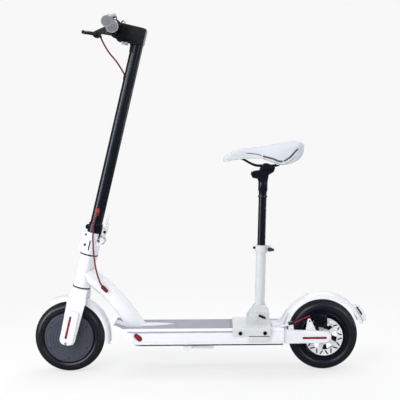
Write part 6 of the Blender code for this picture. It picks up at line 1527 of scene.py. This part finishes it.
@dataclass
class BrakeCable(SubAssembly):
    """The brake cable from the lever to the caliper, with its grommets."""

    radius: float = 0.0026
    on_stem: tuple[Point3, ...] = (
        (-0.1063, -0.0708, 0.9453), (-0.1035, -0.0675, 0.9405), (-0.0925, -0.0575, 0.9260),
        (-0.0745, -0.0410, 0.9065), (-0.0520, -0.0250, 0.8890), (-0.0350, -0.0110, 0.8720),
        (-0.0205, -0.0045, 0.8560), (-0.0080, -0.0035, 0.8380), (0.0010, -0.0030, 0.8000),
        (0.0020, -0.0030, 0.7000), (0.0010, -0.0035, 0.5600), (0.0000, -0.0050, 0.4600),
        (-0.0010, -0.0095, 0.4290), (-0.0010, -0.0160, 0.4120), (-0.0010, -0.0225, 0.4040))
    over_fold: tuple[Point3, ...] = (
        (-0.3243, -0.0235, 0.5023), (-0.3300, -0.0275, 0.4880), (-0.3345, -0.0310, 0.4650),
        (-0.3362, -0.0335, 0.4300), (-0.3350, -0.0350, 0.3950), (-0.3318, -0.0355, 0.3600),
        (-0.3262, -0.0355, 0.3250), (-0.3180, -0.0352, 0.2960), (-0.3105, -0.0342, 0.2790),
        (-0.3050, -0.0300, 0.2695))
    in_frame: tuple[Point3, ...] = (
        (-0.3047, -0.0298, 0.2690), (-0.3018, -0.0276, 0.2641), (-0.2965, -0.0215, 0.2565),
        (-0.2880, -0.0155, 0.2460), (-0.2600, -0.0100, 0.2130), (-0.2250, -0.0070, 0.1680),
        (-0.2030, -0.0060, 0.1430), (-0.1965, -0.0110, 0.1290), (-0.1925, -0.0300, 0.1230),
        (-0.1700, -0.0490, 0.1210), (-0.1300, -0.0590, 0.1210), (0.0000, -0.0595, 0.1210),
        (0.1400, -0.0595, 0.1210), (0.2150, -0.0580, 0.1210), (0.2340, -0.0535, 0.1250),
        (0.2460, -0.0520, 0.1380), (0.2560, -0.0520, 0.1480), (0.2680, -0.0520, 0.1510),
        (0.2850, -0.0520, 0.1558), (0.2960, -0.0520, 0.1589))

    def build(self) -> None:
        """Builds the cable's runs and grommets."""
        upper = wire("cable_on_stem", smooth_route(self.on_stem, 0.004), self.radius, STEERING)
        self.shop.fit(upper, "stem", Look.SHEATH, "brake_cable_stem")
        self.loop()
        inner = wire("cable_in_frame", smooth_route(self.in_frame, 0.005), self.radius)
        self.shop.fit(inner, "frame", Look.SHEATH, "brake_cable_frame")
        self.grommets()

    def loop(self) -> None:
        """Builds the free bend over the fold in two runs, which are tied to no body."""
        route = smooth_route(self.over_fold, 0.003)
        middle = len(route) // 2
        first = wire("cable_bend_upper", route[:middle + 2], self.radius)
        self.shop.dress(first, Look.SHEATH)
        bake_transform(first)
        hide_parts("brake_cable_loop")
        second = wire("cable_bend_lower", route[middle:], self.radius)
        self.shop.dress(second, Look.SHEATH)
        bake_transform(second)
        log.info("cable_bend_upper and cable_bend_lower bend over the fold")

    def grommets(self) -> None:
        """Builds the rubber grommets where the cable enters and leaves the tubes."""
        self.shop.refine("frame_grommet", "frame", Look.WINE_RUBBER, edge=0.0012)
        leave = slab("stem_exit_grommet", oblong(0.0100, 0.0240, 0.0048), 0.0034,
                     STEERING @ Matrix.Translation((-0.001, -0.0190, 0.4095)) @ SIDE, edge=0.0010)
        self.shop.fit(leave, "stem", Look.RED_RUBBER)
        enter = slab("stem_entry_grommet", oblong(0.0068, 0.0160, 0.0033), 0.0030,
                     pointing((-0.0188, -0.0042, 0.8455), (-1, 0, 0), STEERING), edge=0.0010)
        self.shop.fit(enter, "stem", Look.SHEATH)
        crimp = lathe("cable_end_cap", [(0.0, 0.0), (0.0036, 0.0), (0.0052, -0.002), (0.0052, -0.017),
                                        (0.0040, -0.019), (0.0, -0.019)],
                      pointing(Vector(self.in_frame[-1]) + Vector((0, -0.0035, 0.0012)), (0.98, 0, 0.14)), 24)
        self.shop.fit(crimp, "frame", Look.BLACK_ABS)
        sleeve = wire("cable_sleeve", smooth_route(self.in_frame[15:19], 0.004), self.radius + 0.0007)
        self.shop.fit(sleeve, "frame", Look.WHITE_ABS)


# Seat
@dataclass
class SeatMount(SubAssembly):
    """The bracket on the deck, the hinged seat tube, the post and its clamps."""

    cheek_face: float = 0.0791
    hinge: Point3 = (0.1750, -0.0213, 0.1653)

    def build(self) -> None:
        """Builds the seat's carrying pieces."""
        self.shop.refine("seat_bracket", "frame", Look.GREY_COAT, edge=0.0008)
        for side, label in ((-1, "left"), (1, "right")):
            # Painted shade: a thin black line along each cheek stands for the shade in the bracket's joint
            seam = slab(f"cheek_joint_shade_{label}", oblong(0.0651, 0.0018, 0.0006, (0.1850, 0.1237)), 0.0010,
                        side_view(side * (self.cheek_face - 0.0001)), edge=0.0)
            self.shop.fit(seam, "frame", Look.BLACK_ABS)
        for side, label in ((-1, "left"), (1, "right")):
            for index, x in enumerate((0.1260, 0.2025)):
                spot = (x, side * self.cheek_face, 0.1335)
                self.shop.screw(f"bracket_bolt_{label}_{index}", "frame", spot, (0, side, 0), 0.0058, 0.0026)
        slant = Matrix.Rotation(math.radians(-23.6), 4, "Z")
        place = Matrix.Translation((0.1962, -0.02755, 0.1738)) @ SIDE @ slant
        latch = slab("seat_latch_bar", oblong(0.0235, 0.0064, 0.0028), 0.0105, place, edge=0.0008)
        self.shop.fit(latch, "seat_latch", Look.BLACK_ABS, "seat_latch")
        self.shop.refine("seat_tube", "seat_tube", Look.GREY_COAT, edge=0.0008)
        self.shop.refine("post_clamp", "seat_tube", Look.GREY_COAT, edge=0.0006)
        self.shop.refine("post_clamp_lever", "post_clamp_lever", Look.CAST, edge=0.0006)
        nub = lathe("clamp_nut", [(0.0, 0.0080), (0.0030, 0.0080), (0.0040, 0.0070), (0.0040, 0.0),
                                  (0.0, 0.0)],
                    pointing((0.1785, 0, 0.3896), (-1, 0, 0)), 24)
        self.shop.fit(nub, "seat_tube", Look.BLACK_STEEL)
        # Painted shade: a thin grey ring round the hinge boss stands for the shade at its edge
        boss = [(0.0112, 0.0), (0.0112, 0.0008), (0.0120, 0.0008), (0.0120, 0.0)]
        ring = lathe("hinge_boss_shade_ring", boss, pointing(self.hinge, (0, -1, 0)), 64, closed=True)
        self.shop.fit(ring, "seat_tube", Look.CAST)
        self.post()

    def post(self) -> None:
        """Builds the post, the clamp head and the rails."""
        top, collar = 0.460, 0.386
        profile = [(0, top), (0.0075, top), (0.0105, top - 0.002), (0.0105, top - 0.013),
                   (0.0145, top - 0.0145), (0.0150, top - 0.0155), (0.0150, top - 0.052),
                   (0.0128, top - 0.056), (0.0128, collar + 0.006), (0.0146, collar + 0.0055),
                   (0.0150, collar + 0.0048), (0.0150, collar + 0.0004), (0.0146, collar),
                   (0.0127, collar - 0.001), (0.0127, 0.152), (0, 0.152)]
        self.shop.fit(lathe("seat_post_tube", profile, SEAT_AXIS, 56), "seat_post", Look.BLACK_COAT,
                      "seat_post")
        head = rounded([(x, z, 0.0025) for x, z in (
            (0.1651, 0.6246), (0.1674, 0.6326), (0.1769, 0.6363), (0.1928, 0.6384),
            (0.1977, 0.6514), (0.2073, 0.6599), (0.2169, 0.6598), (0.2375, 0.6526),
            (0.2422, 0.6446), (0.2373, 0.6319), (0.2213, 0.6225), (0.2196, 0.6098),
            (0.2163, 0.6003), (0.1893, 0.6006), (0.1862, 0.6105), (0.1704, 0.6135))], 3)
        clamp = slab("saddle_clamp_head", head, 0.0340, SIDE, edge=0.0016)
        self.shop.fit(clamp, "seat_post", Look.BLACK_COAT, "saddle_clamp")
        plate = rounded([(x, z, 0.003) for x, z in (
            (0.2005, 0.6532), (0.2369, 0.6529), (0.2400, 0.6434), (0.2020, 0.6405))], 3)
        self.shop.fit(slab("saddle_clamp_plate", plate, 0.0520, SIDE, edge=0.0016), "seat_post",
                      Look.BLACK_COAT)
        half = [(0.1120, 0.0, 0.6775), (0.1150, 0.0060, 0.6775), (0.1280, 0.0120, 0.6770),
                (0.1420, 0.0180, 0.6725), (0.1640, 0.0215, 0.6600), (0.1840, 0.022, 0.6525),
                (0.2130, 0.022, 0.6520), (0.2400, 0.022, 0.6515), (0.2530, 0.0240, 0.6555),
                (0.2640, 0.0290, 0.6660), (0.2690, 0.0315, 0.6740), (0.2705, 0.0322, 0.6798)]
        left = [(x, -y, z) for x, y, z in reversed(half)]
        rails = wire("saddle_rail_wire", smooth_route(left[:-1] + half, 0.005), 0.0035, sides=16)
        self.shop.fit(rails, "seat_post", Look.BLACK_STEEL, "saddle_rails")


@dataclass
class Saddle(SubAssembly):
    """The padded saddle: leathercloth over foam, with dark lines of painted shade along its sewn channels."""

    shrink: float = 0.0012
    swell: float = 0.0045
    voxel: float = 0.0046
    pressure: float = 4.0
    stiffness: float = 30.0
    frames: int = 20
    bury: float = 0.3
    nose_start: float = 0.135
    nose_length: float = 0.050
    nose_reach: float = 0.0062
    nose_drop: float = 0.0020
    # Radius, finish and points of each line of painted shade in the cover's channels
    channels: tuple = (
        (0.0014, Look.CHANNEL_SHADE, ((0.1501, 0.6927), (0.1679, 0.6910), (0.1898, 0.6880), (0.1992, 0.6825))),
        (0.0032, Look.CHANNEL_SHADE, ((0.2030, 0.6828), (0.2173, 0.6789), (0.2341, 0.6744), (0.2484, 0.6680),
                               (0.2603, 0.6667))),
        (0.0028, Look.CHANNEL_SHADE, ((0.2653, 0.6682), (0.2750, 0.6740), (0.2857, 0.6820), (0.2973, 0.6944),
                               (0.3080, 0.7058))),
        # A thinner grey line lower on the flank, also painted shade, drawn in the die-cast grey finish
        (0.0009, Look.CAST, ((0.1986, 0.6747), (0.2172, 0.6695), (0.2359, 0.6638), (0.2515, 0.6589),
                             (0.2671, 0.6591), (0.2859, 0.6695), (0.3000, 0.6819))))

    def build(self) -> None:
        """Builds the pad and the painted shade lines along its channels."""
        pad = self.pad()
        self.shop.fit(pad, "seat_post", Look.SADDLE, "saddle")
        self.seams(pad)

    def pad(self) -> Piece:
        """Puffs a copy of the saddle up as cloth over pressure.

        Returns:
            The padded cover.
        """
        mesh = tidied(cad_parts["saddle"].data.copy())
        item = piece_of("saddle_pad", mesh)
        grid = item.modifiers.new("grid", "REMESH")
        grid.mode = "VOXEL"
        grid.voxel_size = self.voxel
        grid.use_smooth_shade = True
        item.data = evaluated_mesh(item)
        item.modifiers.clear()
        item.data.update()
        for vertex, normal in zip(item.data.vertices, [n.vector.copy() for n in item.data.vertex_normals]):
            vertex.co -= normal * self.shrink
        rest = [v.co.copy() for v in item.data.vertices]
        self.puff(item)
        self.limit(item, rest)
        for vertex in item.data.vertices:
            ahead = max(0.0, (self.nose_start - vertex.co.x) / self.nose_length)
            vertex.co.x -= self.nose_reach * ahead
            vertex.co.z -= self.nose_drop * ahead
        item.data.shade_smooth()
        fine = item.modifiers.new("skin", "SUBSURF")
        fine.levels = fine.render_levels = 1
        return item

    def seams(self, pad: Piece) -> None:
        """Lays the dark lines of painted shade along the side channels on both flanks of the cover.

        Args:
            pad: the cover.
        """
        skin = evaluated_mesh(pad)
        shape = bmesh.new()
        shape.from_mesh(skin)
        tree = BVHTree.FromBMesh(shape)
        for index, (radius, look, route) in enumerate(self.channels):
            for side, label in ((-1, "left"), (1, "right")):
                laid = []
                for point in smooth_route([(x, 0.0, z) for x, z in route], 0.003):
                    hit = tree.ray_cast(Vector((point.x, side * 0.2, point.z)), Vector((0, -side, 0)))
                    if hit[0] is not None:
                        laid.append(hit[0] - hit[1] * radius * self.bury)
                # Each line is painted shade lying in a channel of the cover
                line = wire(f"saddle_channel_shade_{label}_{index}", laid, radius, sides=10)
                self.shop.fit(line, "seat_post", look)
        shape.free()

    def puff(self, item: Piece) -> None:
        """Runs the cloth for its frames with no gravity and settles it."""
        cloth = item.modifiers.new("cover", "CLOTH")
        settings = cloth.settings
        settings.use_pressure = True
        settings.uniform_pressure_force = self.pressure
        settings.effector_weights.gravity = 0.0
        settings.tension_stiffness = settings.compression_stiffness = self.stiffness
        cloth.collision_settings.use_collision = False
        scene = bpy.context.scene
        cloth.point_cache.frame_start, cloth.point_cache.frame_end = 1, self.frames
        for number in range(1, self.frames + 1):
            scene.frame_set(number)
        puffed = evaluated_mesh(item)
        item.modifiers.clear()
        item.data = puffed
        scene.frame_set(1)

    def limit(self, item: Piece, rest: Sequence[Vector]) -> None:
        """Keeps each point of the cover within reach of where it started.

        Args:
            item: the puffed cover.
            rest: the starting points.
        """
        for vertex, start in zip(item.data.vertices, rest):
            step = vertex.co - start
            if step.length > self.swell:
                vertex.co = start + step.normalized() * self.swell


# Studio
@dataclass
class Studio:
    """The pale floor, the soft lamps, the white surround and the camera."""

    shop: Workshop
    eye: Point3 = (0.05994, -2.56293, 0.75860)
    pitch: float = 1.5
    roll: float = -0.00837
    lens: float = 72.3623
    shift_x: float = -0.0442
    shift_y: float = -0.11611
    surround: str = "#F8F8F8"
    sky: str = "#F4F6FA"
    fill: float = 0.46
    mirrored: float = 0.045
    floor_radius: float = 2.4
    fade_start: float = 0.55
    fade_end: float = 1.5
    floor_share: float = 0.30

    def build(self) -> None:
        """Sets up the studio."""
        self.camera()
        self.world()
        self.floor()
        self.lamps()
        bpy.context.scene.view_settings.view_transform = "Standard"

    def camera(self) -> None:
        """Stands the camera side on, as in the photograph, a little above the scooter's middle."""
        data = bpy.data.cameras.new("camera")
        data.lens, data.sensor_width = self.lens, 36.0
        data.shift_x, data.shift_y = self.shift_x, self.shift_y
        item = bpy.data.objects.new("camera", data)
        pitch = math.radians(self.pitch)
        ahead = Vector((0, math.cos(pitch), -math.sin(pitch)))
        over = Vector((0, math.sin(pitch), math.cos(pitch)))
        right = Vector((1, 0, 0)) * math.cos(self.roll) + over * math.sin(self.roll)
        up = over * math.cos(self.roll) - Vector((1, 0, 0)) * math.sin(self.roll)
        turn = Matrix((right, up, -ahead)).transposed().to_4x4()
        item.matrix_world = Matrix.Translation(self.eye) @ turn
        bpy.context.scene.collection.objects.link(item)
        bpy.context.scene.camera = item

    def world(self) -> None:
        """A white surround for the eye and through clear pieces, dimmer as fill light and in reflections."""
        world = bpy.data.worlds.new("studio")
        bpy.context.scene.world = world
        world.use_nodes = True
        tree = world.node_tree
        tree.nodes.clear()
        path = add_node(tree, "ShaderNodeLightPath")
        seen = add_node(tree, "ShaderNodeMath", {0: path.outputs["Is Camera Ray"],
                                                 1: path.outputs["Is Transmission Ray"]}, operation="MAXIMUM")
        white = add_node(tree, "ShaderNodeBackground", {"Color": linear(self.surround), "Strength": 1.0})
        fill = add_node(tree, "ShaderNodeBackground", {"Color": linear(self.sky), "Strength": self.fill})
        dim = add_node(tree, "ShaderNodeBackground", {"Color": linear(self.sky), "Strength": self.mirrored})
        soft = add_node(tree, "ShaderNodeMixShader",
                        {0: path.outputs["Is Glossy Ray"], 1: fill.outputs["Background"],
                         2: dim.outputs["Background"]})
        both = add_node(tree, "ShaderNodeMixShader", {0: seen.outputs["Value"], 1: soft.outputs["Shader"],
                                                      2: white.outputs["Background"]})
        add_node(tree, "ShaderNodeOutputWorld", {"Surface": both.outputs["Shader"]})

    def floor(self) -> None:
        """A round pale floor that keeps the shadow, fades outwards and is dark in reflections."""
        profile = [(self.floor_radius * ring / 6, 0.0) for ring in (0, 1, 2, 3, 4, 6)]
        item = lathe("studio_floor", profile, WORLD, 96)
        made = bpy.data.materials.new("painted_board_pale")
        made.use_nodes = True
        tree = made.node_tree
        tree.nodes.clear()
        point = add_node(tree, "ShaderNodeTexCoord").outputs["Object"]
        away = add_node(tree, "ShaderNodeVectorMath", {0: point}, operation="LENGTH")
        fade = add_node(tree, "ShaderNodeMapRange", {"Value": away.outputs["Value"],
                                                     "From Min": self.fade_start, "From Max": self.fade_end,
                                                     "To Min": self.floor_share, "To Max": 0.0},
                        interpolation_type="SMOOTHSTEP")
        board = add_node(tree, "ShaderNodeBsdfDiffuse", {"Color": linear("#F4F4F5")})
        clear = add_node(tree, "ShaderNodeEmission", {"Color": linear(self.surround), "Strength": 1.0})
        seen = add_node(tree, "ShaderNodeMixShader", {0: fade.outputs["Result"], 1: clear.outputs["Emission"],
                                                      2: board.outputs["BSDF"]})
        path = add_node(tree, "ShaderNodeLightPath")
        both = add_node(tree, "ShaderNodeMixShader",
                        {0: path.outputs["Is Camera Ray"], 1: board.outputs["BSDF"],
                         2: seen.outputs["Shader"]})
        dark = add_node(tree, "ShaderNodeBsdfDiffuse", {"Color": linear("#3A3B3E")})
        both = add_node(tree, "ShaderNodeMixShader",
                        {0: path.outputs["Is Glossy Ray"], 1: both.outputs["Shader"],
                         2: dark.outputs["BSDF"]})
        add_node(tree, "ShaderNodeOutputMaterial", {"Surface": both.outputs["Shader"]})
        item.data.materials.append(made)

    def lamps(self) -> None:
        """Hangs the soft lamps: a broad key from the front left and weaker ones round the scooter."""
        for name, spot, aim, size, watts in (
                ("key", (-1.5, -2.4, 2.4), (0, 0, 0.5), (1.8, 1.8), 44.0),
                ("fill", (2.2, -1.8, 1.5), (0, 0, 0.5), (1.6, 1.6), 16.0),
                ("strip", (-2.1, -1.0, 1.0), (-0.3, 0, 0.7), (0.55, 1.8), 24.0),
                ("rim", (1.9, 1.0, 1.0), (-0.2, 0, 0.7), (0.25, 1.8), 10.0),
                ("overhead", (0.0, 0.4, 2.9), (0, 0, 0.4), (2.2, 1.4), 30.0),
                ("back", (0.6, 2.4, 1.6), (0, 0, 0.5), (1.6, 1.6), 14.0)):
            data = bpy.data.lights.new(name, "AREA")
            data.shape = "RECTANGLE"
            data.size, data.size_y = size
            data.energy = watts
            item = bpy.data.objects.new(name, data)
            item.matrix_world = Matrix.Translation(spot) @ (
                (Vector(aim) - Vector(spot)).to_track_quat("-Z", "Y").to_matrix().to_4x4())
            bpy.context.scene.collection.objects.link(item)


def main() -> None:
    """Builds and dresses the scooter."""
    logging.basicConfig(level=logging.INFO, format="%(message)s")
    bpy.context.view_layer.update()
    shop = Workshop()
    Studio(shop).build()
    for group in (BrakeCable, FrontWheel, RearWheel, ForkEnd, FoldJoint, Stem, HeadAndBar, Deck, RearEnd,
                  SeatMount, Saddle):
        group(shop).build()
        log.info("%s is built", group.__name__)


if __name__ == "__main__":
    main()
